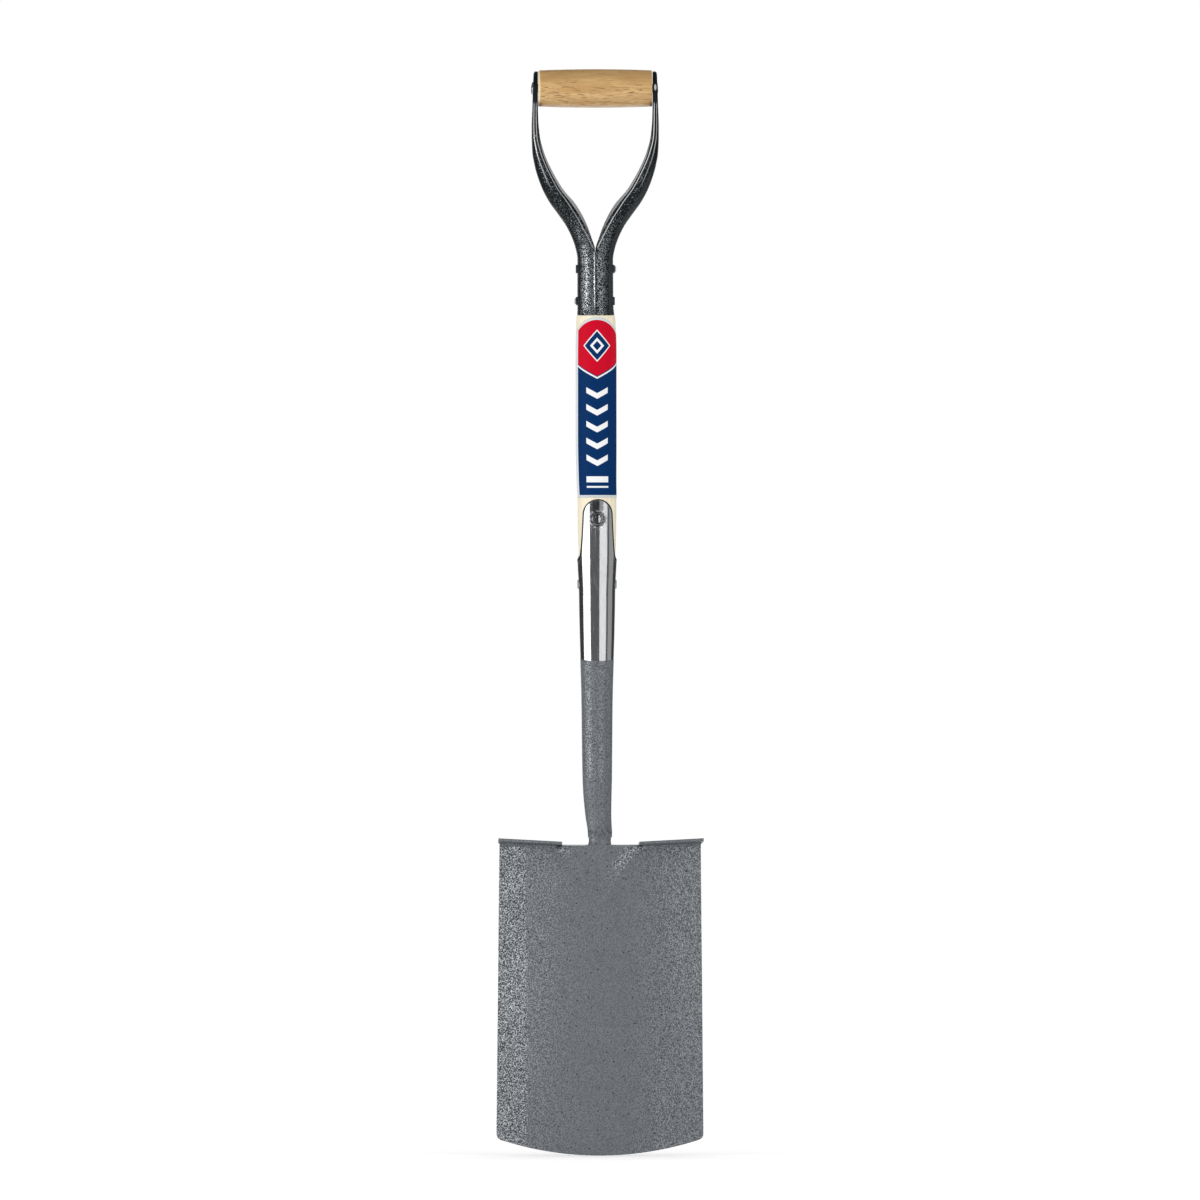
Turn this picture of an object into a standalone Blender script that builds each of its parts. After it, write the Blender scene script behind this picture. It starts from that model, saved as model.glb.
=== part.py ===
# Digging spade: forged treaded head with a strapped socket, ash shaft, pressed steel D handle, wooden grip.
# Lengths are in metres. The front of the blade faces -Y and the shaft stands along +Z.
# Heights are taken above the lowest point of the cutting edge. An empty there carries every piece,
# so that the origin of the scene is the middle of the grip's underside, where the spade hangs on a hook.
import math

import bmesh
import bpy
from mathutils import Vector

MM = 0.001
GAP = 0.3 * MM  # between pieces that touch

# Overall sizes
GRIP_HEIGHT = 983.4 * MM
GRIP_LENGTH = 105.2 * MM
GRIP_END_RADIUS = 15.95 * MM
GRIP_MIDDLE_RADIUS = 17.85 * MM
HANG_HEIGHT = GRIP_HEIGHT - GRIP_MIDDLE_RADIUS
SHAFT_RADIUS = 17.95 * MM
SHAFT_TOP_RADIUS = 17.5 * MM

# Blade
BLADE_TOP = 286 * MM
BLADE_TOP_HALF_WIDTH = 92.8 * MM
BLADE_CORNER_HALF_WIDTH = 95.4 * MM
EDGE_RISE = 15.8 * MM  # the corners stand this far above the middle of the cutting edge
CORNER_RADIUS = 4 * MM
BLADE_THICKNESS = 3.0 * MM
EDGE_THICKNESS = 0.9 * MM
EDGE_BEVEL = 9 * MM
BLADE_FORWARD = 20 * MM  # how far the top of the blade stands in front of the shaft
BLADE_LEAN = math.radians(6)
DISH_TOP = 7.2 * MM
DISH_BOTTOM = 3.6 * MM
FAN_HEIGHT = 4.5 * MM  # the raised fan below the neck
FAN_FOOT = 230 * MM
FAN_INNER = 23 * MM
FAN_OUTER = 37 * MM

# Treads
TREAD_START = 35.6 * MM
TREAD_END = 94.6 * MM
TREAD_DEPTH = 13.5 * MM
TREAD_THICKNESS = 3.2 * MM
TREAD_SLOPE = math.radians(3.2)
TREAD_ROOT = 284.4 * MM
TREAD_BACK = 0.4 * MM

# Straps and socket
STRAP_TOP = 604.8 * MM
STRAP_HALF_WIDTH = 14.4 * MM
STRAP_CROTCH = 549.5 * MM

# Handle
SLEEVE_BOTTOM = 774.3 * MM
STEEL = 1.9 * MM
EYE_FACE = 58.4 * MM
EYE_RADIUS = 16.0 * MM
EYE_ROUNDING = 3.0 * MM
TENON_RADIUS = 14.0 * MM
TENON_TOP = 832 * MM
ARM_TOP = 974.5 * MM

# Rivets
GRIP_ROD_RADIUS = 4.0 * MM
SLEEVE_RIVET_HEIGHTS = {"upper": 816.8 * MM, "lower": 787.3 * MM}
SLEEVE_SHANK_RADIUS = 2.5 * MM
SLEEVE_RADIUS = 16.2 * MM
STRAP_RIVET_HEIGHT = 586.2 * MM
STRAP_SHANK_RADIUS = 3.0 * MM
STRAP_RADIUS = 18.5 * MM
SOCKET_RIVET_HEIGHT = 526 * MM
SOCKET_SHANK_RADIUS = 2.5 * MM
SOCKET_RADIUS = 16.9 * MM

# Label
LABEL_BOTTOM = 606 * MM
LABEL_SHOULDER = 757 * MM
LABEL_TOP = 772.5 * MM
LABEL_HALF_ANGLE = math.radians(84)
LABEL_THICKNESS = 0.2 * MM

# Sections of the neck and socket, from the tip of the keel on the blade's back up to the straps:
# height, half width, front, back
NECK_SECTIONS = [
    (188, 4.0, -30.4, -29.6),
    (205, 5.8, -28.6, -26.2),
    (230, 8.2, -26.0, -21.0),
    (258, 10.6, -23.2, -15.4),
    (276, 12.0, -21.6, -11.8),
    (284, 12.4, -23.8, -10.4),
    (287, 11.3, -25.3, -9.9),
    (291, 10.3, -25.2, -9.2),
    (300, 10.9, -24.2, -6.2),
    (309, 11.4, -22.8, -2.6),
    (318, 11.9, -21.2, 1.2),
    (330, 12.5, -18.8, 5.8),
    (345, 13.2, -16.4, 9.8),
    (364, 13.6, -14.8, 12.4),
    (382, 13.9, -14.2, 13.6),
    (419, 14.3, -14.3, 14.3),
    (456, 15.2, -15.2, 15.2),
    (484, 15.8, -15.8, 15.8),
    (511, 16.5, -16.5, 16.5),
    (528, 16.8, -16.9, 16.9),
    (541, 18.0, -18.1, 18.1),
    (556, 18.5, -18.5, 18.5),
    (612, 18.5, -18.5, 18.5),
]
NECK_RING_POINTS = 30

# Bore of the socket, from its floor up to the straps: height, radius
BORE_SECTIONS = [
    (398, 9.8),
    (419, 10.8),
    (456, 12.3),
    (484, 13.1),
    (511, 13.9),
    (530, 14.4),
    (545, 15.7),
    (556, 16.1),
]

# The wood beside and below the straps, down to the rim of the socket: radius, height
SHAFT_FOOT = [(17.95, 606), (17.7, 575), (17.3, 560), (16.7, 552)]

# Sections of the right-hand arm: height, outer edge, front lip, rear lip, half depth, squareness
ARM_SECTIONS = [
    (774.3, 17.1, 0.15, 0.15, 17.1, 2.0),
    (782, 16.4, 0.15, 0.15, 16.4, 2.0),
    (800, 16.2, 0.15, 0.15, 16.2, 2.0),
    (826, 16.4, 0.15, 0.15, 16.2, 2.0),
    (835, 17.8, 0.4, 0.15, 16.2, 2.0),
    (845, 21.0, 6.4, 2.6, 16.1, 2.1),
    (856, 26.2, 12.6, 6.4, 15.7, 2.2),
    (867, 33.7, 18.8, 11.8, 15.1, 2.3),
    (878, 41.6, 25.6, 19.4, 14.5, 2.4),
    (889.5, 47.9, 32.8, 29.8, 13.8, 2.5),
    (901, 52.4, 39.4, 36.8, 13.1, 2.7),
    (912, 55.5, 44.6, 42.2, 12.6, 2.8),
    (925, 57.7, 49.6, 47.6, 12.2, 3.0),
    (940, 58.3, 53.0, 51.6, 12.0, 3.0),
    (956, 58.3, 53.1, 52.6, 12.0, 3.0),
    (974.5, 58.25, 53.1, 53.0, 12.0, 3.0),
]
ARM_SECTION_POINTS = 13


def clear_scene():
    for item in list(bpy.data.objects):
        bpy.data.objects.remove(item, do_unlink=True)


def new_collection(name):
    collection = bpy.data.collections.new(name)
    bpy.context.scene.collection.children.link(collection)
    return collection


def finish(name, colour, roughness, metallic):
    """One painted, metal or wooden finish."""
    made = bpy.data.materials.new(name)
    made.use_nodes = True
    shader = made.node_tree.nodes["Principled BSDF"]
    shader.inputs["Base Color"].default_value = (*colour, 1)
    shader.inputs["Roughness"].default_value = roughness
    shader.inputs["Metallic"].default_value = metallic
    return made


def add_piece(name, mesh, material):
    """A piece of the spade, carried by the empty at the cutting edge."""
    mesh.materials.append(material)
    mesh.shade_smooth()
    mesh.set_sharp_from_angle(angle=math.radians(35))
    piece = bpy.data.objects.new(name, mesh)
    piece.parent = datum
    pieces.objects.link(piece)
    return piece


def add_tool(name, mesh):
    """A shape that only cuts or joins other pieces."""
    tool = bpy.data.objects.new(name, mesh)
    tool.parent = datum
    tool.hide_render = True
    tool.display_type = "WIRE"
    tools.objects.link(tool)
    return tool


def combine(target, other, operation):
    step = target.modifiers.new(f"{operation.lower()} {other.name}", "BOOLEAN")
    step.operation = operation
    step.object = other
    step.solver = "EXACT"


def to_mesh(name, shape):
    mesh = bpy.data.meshes.new(name)
    shape.to_mesh(mesh)
    shape.free()
    return mesh


def between(stations, height, column):
    """A smooth value at a height, through the column of a table of stations, with no overshoot."""
    heights = [row[0] for row in stations]
    values = [row[column] for row in stations]
    height = min(max(height, heights[0]), heights[-1])
    last = len(heights) - 2
    place = min(max(i for i, h in enumerate(heights) if h <= height), last)
    slopes = [
        (values[i + 1] - values[i]) / (heights[i + 1] - heights[i])
        for i in range(len(heights) - 1)
    ]

    def tangent(i):
        if i in (0, last + 1):
            return slopes[min(i, last)]
        before, after = slopes[i - 1], slopes[i]
        return 0 if before * after <= 0 else 2 * before * after / (before + after)

    step = heights[place + 1] - heights[place]
    t = (height - heights[place]) / step
    start = (2 * t**3 - 3 * t**2 + 1) * values[place] + (t**3 - 2 * t**2 + t) * step * tangent(place)
    end = (3 * t**2 - 2 * t**3) * values[place + 1] + (t**3 - t**2) * step * tangent(place + 1)
    return start + end


def smooth_step(value, low, high):
    t = min(max((value - low) / (high - low), 0), 1)
    return t * t * (3 - 2 * t)


def skin(rings, closed):
    """Faces between successive rings or open rows of points; closed rings also get end caps."""
    shape = bmesh.new()
    rows = [[shape.verts.new(point) for point in ring] for ring in rings]
    count = len(rows[0])
    for low, high in zip(rows, rows[1:]):
        for i in range(count if closed else count - 1):
            j = (i + 1) % count
            shape.faces.new((low[i], low[j], high[j], high[i]))
    if closed:
        shape.faces.new(rows[0][::-1])
        shape.faces.new(rows[-1])
    return shape


def turned(name, profile, steps, add, *material):
    """A profile of (radius, height) points turned about its own Z axis; radius 0 closes an end."""
    shape = bmesh.new()
    points = [shape.verts.new((radius, 0, height)) for radius, height in profile]
    for a, b in zip(points, points[1:]):
        shape.edges.new((a, b))
    if profile[0][0] > 0:
        shape.edges.new((points[-1], points[0]))
    piece = add(name, to_mesh(name, shape), *material)
    turn = piece.modifiers.new("turn", "SCREW")
    turn.steps = steps
    turn.render_steps = steps
    turn.use_merge_vertices = True
    turn.merge_threshold = 0.00001
    return piece


def lay_along(piece, axis, height):
    """Turns a piece's own Z axis to X or Y, through the spade's axis at a height."""
    piece.rotation_euler = (0, math.pi / 2, 0) if axis == "X" else (-math.pi / 2, 0, 0)
    piece.location = (0, 0, height)


def rounded_end(radius, height, rounding, points):
    """The quarter round between an end face and a side, walked from the end face to the side."""
    arc = []
    for i in range(points + 1):
        angle = math.pi / 2 * i / points
        out = radius - rounding + rounding * math.sin(angle)
        arc.append((out, height - rounding * (1 - math.cos(angle))))
    return arc


# Head


def blade_middle(height):
    """How far forward the middle of the blade's thickness stands."""
    return -BLADE_FORWARD - (BLADE_TOP - height) * math.tan(BLADE_LEAN)


def dish(x, height):
    """The blade's sides curve forward, more at the top than at the cutting edge."""
    depth = DISH_BOTTOM + (DISH_TOP - DISH_BOTTOM) * smooth_step(height, 0, 0.7 * BLADE_TOP)
    return -depth * (x / BLADE_TOP_HALF_WIDTH) ** 2


def fan(x, height):
    """The raised fan that spreads from the neck and runs out down the blade."""
    grown = min(max((height - FAN_FOOT) / (BLADE_TOP - FAN_FOOT), 0), 1)
    if grown == 0:
        return 0
    fall = smooth_step(abs(x), grown * FAN_INNER, grown * FAN_OUTER)
    return -FAN_HEIGHT * grown * (1 - fall)


def cutting_edge(x):
    radius = (BLADE_CORNER_HALF_WIDTH**2 + EDGE_RISE**2) / (2 * EDGE_RISE)
    return radius - math.sqrt(radius**2 - x**2)


def blade_point(across, row, is_front):
    """Where a point of the flat grid goes: across is -1 to 1, and row is a height up the middle."""
    share = row / BLADE_TOP
    half_width = BLADE_CORNER_HALF_WIDTH + (BLADE_TOP_HALF_WIDTH - BLADE_CORNER_HALF_WIDTH) * share
    if row < CORNER_RADIUS:
        half_width -= CORNER_RADIUS - math.sqrt(CORNER_RADIUS**2 - (CORNER_RADIUS - row) ** 2)
    x = half_width * (0.5 * across + 0.5 * across**3)
    low = cutting_edge(x)
    top = BLADE_TOP + max(0, abs(x) - TREAD_START) * math.tan(TREAD_SLOPE)
    height = low + (top - low) * share
    ground = min((height - low) / EDGE_BEVEL, 1)
    half = (EDGE_THICKNESS + (BLADE_THICKNESS - EDGE_THICKNESS) * ground) / 2
    middle = blade_middle(height) + dish(x, height)
    return (x, middle - half + fan(x, height) if is_front else middle + half, height)


def blade_mesh():
    """A flat grid with a thickness, drawn into the dished blade."""
    edge_rows = [0, 0.6 * MM, 2 * MM, CORNER_RADIUS, EDGE_BEVEL]
    plain_rows = [EDGE_BEVEL + (FAN_FOOT - EDGE_BEVEL) * i / 5 for i in range(1, 6)]
    fan_rows = [FAN_FOOT + (BLADE_TOP - FAN_FOOT) * i / 7 for i in range(1, 8)]
    rows = edge_rows + plain_rows + fan_rows
    shape = bmesh.new()
    bmesh.ops.create_grid(shape, x_segments=30, y_segments=len(rows) - 1, size=1)
    grown = bmesh.ops.extrude_face_region(shape, geom=shape.faces[:])
    raised = [v for v in grown["geom"] if isinstance(v, bmesh.types.BMVert)]
    bmesh.ops.translate(shape, verts=raised, vec=(0, 0, 1))
    for vert in shape.verts:
        row = rows[round((vert.co.y + 1) / 2 * (len(rows) - 1))]
        vert.co = blade_point(vert.co.x, row, vert.co.z > 0.5)
    bmesh.ops.recalc_face_normals(shape, faces=shape.faces)
    return to_mesh("blade", shape)


def tread_mesh(side):
    """A foot tread: the plate turned forward square to the blade, its outer end a little higher."""
    shape = bmesh.new()
    bmesh.ops.create_cube(shape, size=1)
    length = TREAD_END - TREAD_START
    for vert in shape.verts:
        vert.co.x = TREAD_START + length * (vert.co.x + 0.5)
        vert.co.y = -TREAD_BACK + (TREAD_DEPTH + BLADE_THICKNESS + TREAD_BACK) * (vert.co.y + 0.5)
        vert.co.z = TREAD_THICKNESS * (vert.co.z + 0.5)
    ends = shape.edges[:]
    bend = [e for e in ends if all(v.co.y < 0 and v.co.z > TREAD_THICKNESS / 2 for v in e.verts)]
    bmesh.ops.bevel(
        shape, geom=bend, offset=2.2 * MM, segments=4, profile=0.5, affect="EDGES", material=-1
    )
    lip = [e for e in shape.edges if all(v.co.y > TREAD_DEPTH for v in e.verts)]
    bmesh.ops.bevel(
        shape, geom=lip, offset=0.7 * MM, segments=2, profile=0.5, affect="EDGES", material=-1
    )
    for i in range(1, 8):
        bmesh.ops.bisect_plane(
            shape,
            geom=shape.verts[:] + shape.edges[:] + shape.faces[:],
            plane_co=(TREAD_START + length * i / 8, 0, 0),
            plane_no=(1, 0, 0),
        )
    forward = Vector((0, -math.cos(BLADE_LEAN), math.sin(BLADE_LEAN)))
    upward = Vector((0, math.sin(BLADE_LEAN), math.cos(BLADE_LEAN)))
    root = Vector((0, blade_middle(TREAD_ROOT) + BLADE_THICKNESS / 2, TREAD_ROOT))
    for vert in shape.verts:
        x, ahead, above = vert.co
        ahead += -dish(x, BLADE_TOP) / math.cos(BLADE_LEAN)
        above += (x - TREAD_START) * math.tan(TREAD_SLOPE)
        vert.co = root + Vector((side * x, 0, 0)) + ahead * forward + above * upward
    bmesh.ops.recalc_face_normals(shape, faces=shape.faces)
    return to_mesh("tread", shape)


def neck_mesh():
    """Keel, neck and socket in one loft, solid up to the top of the straps."""
    heights = []
    for low, high in zip(NECK_SECTIONS, NECK_SECTIONS[1:]):
        heights.append(low[0])
        if 287 <= low[0] < 364:
            heights.append((low[0] + high[0]) / 2)
    heights.append(NECK_SECTIONS[-1][0])
    rings = []
    for height in heights:
        half_width = between(NECK_SECTIONS, height, 1) * MM
        front = between(NECK_SECTIONS, height, 2) * MM
        back = between(NECK_SECTIONS, height, 3) * MM
        ring = []
        for i in range(NECK_RING_POINTS):
            angle = math.tau * i / NECK_RING_POINTS
            y = (front + back) / 2 + (back - front) / 2 * math.sin(angle)
            ring.append((half_width * math.cos(angle), y, height * MM))
        rings.append(ring)
    return to_mesh("neck", skin(rings, closed=True))


def strap_outline(grow):
    """The straps seen from the front: round top, nearly straight sides, crotch of the side slot."""
    half = STRAP_HALF_WIDTH + grow
    top = STRAP_TOP + grow
    points = []
    for i in range(10):
        angle = math.pi / 2 * i / 9
        points.append((half * math.sin(angle), top - half * (1 - math.cos(angle))))
    crotch = STRAP_CROTCH + grow
    points += [
        (half + 1.0 * MM, crotch + 20 * MM),
        (half + 1.7 * MM, crotch + 9 * MM),
        (half + 2.4 * MM, crotch + 3.6 * MM),
        (half + 3.6 * MM, crotch + 0.7 * MM),
        (half + 6.0 * MM, crotch),
        (30 * MM, crotch),
        (30 * MM, 150 * MM),
    ]
    return points + [(-x, z) for x, z in reversed(points) if x > 0]


def strap_prism(name, grow):
    """The strap outline as a flat shape, given depth from front to back."""
    curve = bpy.data.curves.new(name, "CURVE")
    curve.dimensions = "2D"
    curve.fill_mode = "BOTH"
    curve.extrude = 30 * MM
    spline = curve.splines.new("POLY")
    outline = strap_outline(grow)
    spline.points.add(len(outline) - 1)
    for point, (x, z) in zip(spline.points, outline):
        point.co = (x, z, 0, 1)
    spline.use_cyclic_u = True
    drawn = bpy.data.objects.new(name, curve)
    tools.objects.link(drawn)
    bpy.context.view_layer.update()
    filled = drawn.evaluated_get(bpy.context.evaluated_depsgraph_get())
    shape = bmesh.new()
    shape.from_mesh(bpy.data.meshes.new_from_object(filled))
    bpy.data.objects.remove(drawn)
    bmesh.ops.remove_doubles(shape, verts=shape.verts, dist=0.00001)
    prism = add_tool(name, to_mesh(name, shape))
    prism.rotation_euler = (math.pi / 2, 0, 0)
    return prism


def bore_profile(clearance, top):
    """The tapered hole of the socket, or with a clearance the end of the wood in it."""
    profile = [(0, top)]
    for height, radius in reversed(BORE_SECTIONS):
        profile.append((radius * MM - clearance, height * MM + clearance))
    profile.insert(1, (profile[1][0], top))
    return profile + [(0, profile[-1][1])]


def hole(name, radius, length, axis, height):
    half = length / 2
    drill = turned(name, [(0, half), (radius, half), (radius, -half), (0, -half)], 16, add_tool)
    lay_along(drill, axis, height)
    return drill


def make_head(steel):
    """Blade, treads, neck, socket and straps, forged in one."""
    neck = add_tool("neck_blank", neck_mesh())
    combine(neck, strap_prism("strap_window", 0), "INTERSECT")
    combine(neck, turned("socket_bore", bore_profile(0, 640 * MM), 30, add_tool), "DIFFERENCE")
    head = add_piece("head", blade_mesh(), steel)
    combine(head, neck, "UNION")
    for side, name in ((-1, "left"), (1, "right")):
        combine(head, add_tool(f"{name}_tread", tread_mesh(side)), "UNION")
    strap_drill = STRAP_SHANK_RADIUS + GAP
    socket_drill = SOCKET_SHANK_RADIUS + GAP
    strap_hole = hole("strap_rivet_hole", strap_drill, 60 * MM, "Y", STRAP_RIVET_HEIGHT)
    socket_hole = hole("socket_rivet_hole", socket_drill, 60 * MM, "X", SOCKET_RIVET_HEIGHT)
    combine(head, strap_hole, "DIFFERENCE")
    combine(head, socket_hole, "DIFFERENCE")
    return strap_hole, socket_hole


# Shaft


def shaft_radius(height):
    """The wood thins a little from the straps up to the sleeve."""
    share = smooth_step(height, STRAP_TOP, SLEEVE_BOTTOM)
    return SHAFT_RADIUS + (SHAFT_TOP_RADIUS - SHAFT_RADIUS) * share


def make_shaft(wood, through_holes):
    """Ash shaft: tenon, long body, seats for the straps and the tapered end in the socket."""
    shoulder = SLEEVE_BOTTOM - GAP
    chamfer = 1 * MM
    profile = [(0, TENON_TOP), (TENON_RADIUS - chamfer, TENON_TOP)]
    profile += [(TENON_RADIUS, TENON_TOP - chamfer), (TENON_RADIUS, shoulder)]
    profile += [(SHAFT_TOP_RADIUS - chamfer, shoulder), (SHAFT_TOP_RADIUS, shoulder - chamfer)]
    profile += [(shaft_radius(height * MM), height * MM) for height in (730, 690, 650)]
    profile += [(radius * MM, height * MM) for radius, height in SHAFT_FOOT]
    profile += bore_profile(GAP, 552 * MM)[3:]
    shaft = turned("shaft", profile, 40, add_piece, wood)
    seats = strap_prism("strap_seats", GAP)
    combine(seats, turned("seat_core", bore_profile(GAP, 640 * MM), 30, add_tool), "DIFFERENCE")
    combine(shaft, seats, "DIFFERENCE")
    for tool in through_holes:
        combine(shaft, tool, "DIFFERENCE")


# Handle


def arm_mesh(side):
    """Half sleeve and channel arm as an open skin, each section from the front lip to the rear lip."""
    heights = []
    for low, high in zip(ARM_SECTIONS, ARM_SECTIONS[1:]):
        heights.append(low[0])
        if 826 <= low[0] < 940:
            heights.append((low[0] + high[0]) / 2)
    heights.append(ARM_SECTIONS[-1][0])
    rows = []
    for height in heights:
        values = [between(ARM_SECTIONS, height, i) for i in range(1, 6)]
        outer, front_lip, rear_lip, half_depth, square = values
        row = []
        for i in range(ARM_SECTION_POINTS):
            angle = math.pi * (i / (ARM_SECTION_POINTS - 1) - 0.5)
            lip = front_lip if angle < 0 else rear_lip
            x = lip + (outer - lip) * abs(math.cos(angle)) ** (2 / square)
            y = math.copysign(half_depth * abs(math.sin(angle)) ** (2 / square), angle)
            row.append((side * x * MM, y * MM, height * MM))
        rows.append(row if side > 0 else row[::-1])
    return to_mesh("arm", skin(rows, closed=False))


def eye_profile():
    """The pressed cap at the top of an arm, open towards the grip, turned about the grip's axis."""
    rim = GRIP_LENGTH / 2 + GAP
    inner = EYE_RADIUS - STEEL
    floor = EYE_FACE - STEEL
    fillet = 1.2 * MM
    outside = [(0, EYE_FACE)] + rounded_end(EYE_RADIUS, EYE_FACE, EYE_ROUNDING, 3)
    inside = [(inner, rim), (inner, floor - fillet), (inner - fillet, floor), (0, floor)]
    return outside + [(EYE_RADIUS, rim)] + inside


def seam_trim(side, name):
    """Everything past the seam between the two halves of the handle."""
    shape = bmesh.new()
    bmesh.ops.create_cube(shape, size=1)
    depth = 40 * MM
    bmesh.ops.scale(shape, verts=shape.verts, vec=(depth, depth, ARM_TOP - SLEEVE_BOTTOM))
    trim = add_tool(f"{name}_seam_trim", to_mesh("seam_trim", shape))
    trim.location = (-side * (depth - GAP) / 2, 0, (ARM_TOP + SLEEVE_BOTTOM) / 2 - 10 * MM)
    return trim


def make_arm(side, name, paint, sleeve_holes, rod_hole):
    arm = add_piece(f"handle_arm_{name}", arm_mesh(side), paint)
    wall = arm.modifiers.new("steel", "SOLIDIFY")
    wall.thickness = STEEL
    wall.offset = -1
    wall.use_even_offset = True
    eye = turned(f"{name}_eye", eye_profile(), 32, add_tool)
    lay_along(eye, "X", GRIP_HEIGHT)
    if side < 0:
        eye.rotation_euler = (0, -math.pi / 2, 0)
    combine(arm, eye, "UNION")
    combine(arm, seam_trim(side, name), "DIFFERENCE")
    for tool in (*sleeve_holes, rod_hole):
        combine(arm, tool, "DIFFERENCE")


def make_grip(wood):
    """Barrel-shaped grip with a through bore for its rivet."""
    half = GRIP_LENGTH / 2
    chamfer = 1.0 * MM
    bore = GRIP_ROD_RADIUS + GAP
    profile = [(bore, half), (GRIP_END_RADIUS - chamfer, half)]
    for i in range(9):
        along = 1 - i / 4
        swell = GRIP_MIDDLE_RADIUS - GRIP_END_RADIUS
        profile.append((GRIP_MIDDLE_RADIUS - swell * along**2, along * (half - chamfer)))
    profile += [(GRIP_END_RADIUS - chamfer, -half), (bore, -half)]
    lay_along(turned("grip", profile, 32, add_piece, wood), "X", GRIP_HEIGHT)


# Rivets


def dome(radius, base, rise):
    """Profile of a domed end, from its middle out to its rim; a negative base and rise face down."""
    arc = []
    for i in range(4):
        angle = math.pi / 6 * i
        arc.append((radius * math.sin(angle), base + rise * math.cos(angle)))
    return arc


def make_grip_rivet(steel):
    """Long rivet: domed head on the left eye, closed end on the right."""
    seat = EYE_FACE + GAP
    closed = 4.9 * MM
    headed = 5.9 * MM
    profile = dome(closed, seat, 0.5 * MM) + [(GRIP_ROD_RADIUS, seat)]
    profile += [(GRIP_ROD_RADIUS, -seat), (headed, -seat)]
    profile += dome(headed, -seat - 0.4 * MM, -1.8 * MM)[::-1]
    lay_along(turned("grip_rivet", profile, 24, add_piece, steel), "X", GRIP_HEIGHT)


def bend_onto_tube(piece, radius, round_way):
    """Draws the flat ends of a cross rivet down onto a round tube; round_way is 0 for X, 1 for Y."""
    shape = bmesh.new()
    shape.from_mesh(piece.evaluated_get(bpy.context.evaluated_depsgraph_get()).data)
    for vert in shape.verts:
        sag = radius - math.sqrt(radius**2 - vert.co[round_way] ** 2)
        if abs(vert.co.z) > radius / 2:
            vert.co.z -= math.copysign(sag, vert.co.z)
    mesh = piece.data
    piece.modifiers.clear()
    shape.to_mesh(mesh)
    shape.free()
    mesh.shade_smooth()
    mesh.set_sharp_from_angle(angle=math.radians(35))


def make_sleeve_rivet(name, side, height, paint):
    """Cross rivet through the sleeve: flat head on one side, washer and closed end on the other."""
    seat = SLEEVE_RADIUS + GAP
    disc = 3.9 * MM
    thick = 1.5 * MM
    chamfer = 0.3 * MM
    closed = 2.9 * MM
    closed_seat = seat + thick + GAP
    shank = SLEEVE_SHANK_RADIUS
    profile = dome(closed, closed_seat + 0.2 * MM, 0.6 * MM) + [(closed, closed_seat)]
    profile += [(shank, closed_seat), (shank, -seat), (disc, -seat)]
    profile += [(disc, -seat - thick + chamfer), (disc - chamfer, -seat - thick)]
    profile += [(disc / 2, -seat - thick), (0, -seat - thick)]
    rivet = turned(f"{name}_sleeve_rivet", profile, 20, add_piece, paint)
    inner = shank + GAP
    ring = [(inner, seat + thick), (disc - chamfer, seat + thick)]
    ring += [(disc, seat + thick - chamfer), (disc, seat), (inner, seat)]
    washer = turned(f"{name}_sleeve_washer", ring, 20, add_piece, paint)
    bpy.context.view_layer.update()
    for piece in (rivet, washer):
        bend_onto_tube(piece, SLEEVE_RADIUS, 1)
        lay_along(piece, "X", height)
        if side < 0:
            piece.rotation_euler = (0, -math.pi / 2, 0)


def two_headed(name, shank, head, tube, side_height, steel):
    """Rivet with a low domed head at each end, seated on a tube."""
    seat = tube + GAP
    top = dome(head, seat + side_height, 0.6 * MM) + [(head, seat), (shank, seat)]
    profile = top + [(radius, -height) for radius, height in reversed(top)]
    rivet = turned(name, profile, 20, add_piece, steel)
    bpy.context.view_layer.update()
    return rivet


def make_strap_rivet(steel):
    """Rivet through both straps, closed nearly flush at the front and the back."""
    rivet = two_headed("strap_rivet", STRAP_SHANK_RADIUS, 5.8 * MM, STRAP_RADIUS, 0.2 * MM, steel)
    bend_onto_tube(rivet, STRAP_RADIUS, 0)
    lay_along(rivet, "Y", STRAP_RIVET_HEIGHT)


def make_socket_rivet(steel):
    """Rivet from side to side through the closed socket."""
    rivet = two_headed("socket_rivet", SOCKET_SHANK_RADIUS, 4 * MM, SOCKET_RADIUS, 0.5 * MM, steel)
    bend_onto_tube(rivet, SOCKET_RADIUS, 1)
    lay_along(rivet, "X", SOCKET_RIVET_HEIGHT)


def make_label(film):
    """Printed film wrapped round the front of the shaft, with an arched top."""
    shape = bmesh.new()
    bmesh.ops.create_grid(shape, x_segments=16, y_segments=4, size=1)
    for vert in shape.verts:
        angle = vert.co.x * LABEL_HALF_ANGLE
        arch = math.sqrt(max(0, 1 - vert.co.x**2))
        top = LABEL_SHOULDER + (LABEL_TOP - LABEL_SHOULDER) * arch
        height = LABEL_BOTTOM + (top - LABEL_BOTTOM) * (vert.co.y + 1) / 2
        radius = shaft_radius(height) + GAP
        vert.co = (radius * math.sin(angle), -radius * math.cos(angle), height)
    label = add_piece("label", to_mesh("label", shape), film)
    wall = label.modifiers.new("film", "SOLIDIFY")
    wall.thickness = LABEL_THICKNESS
    wall.offset = 1


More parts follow.
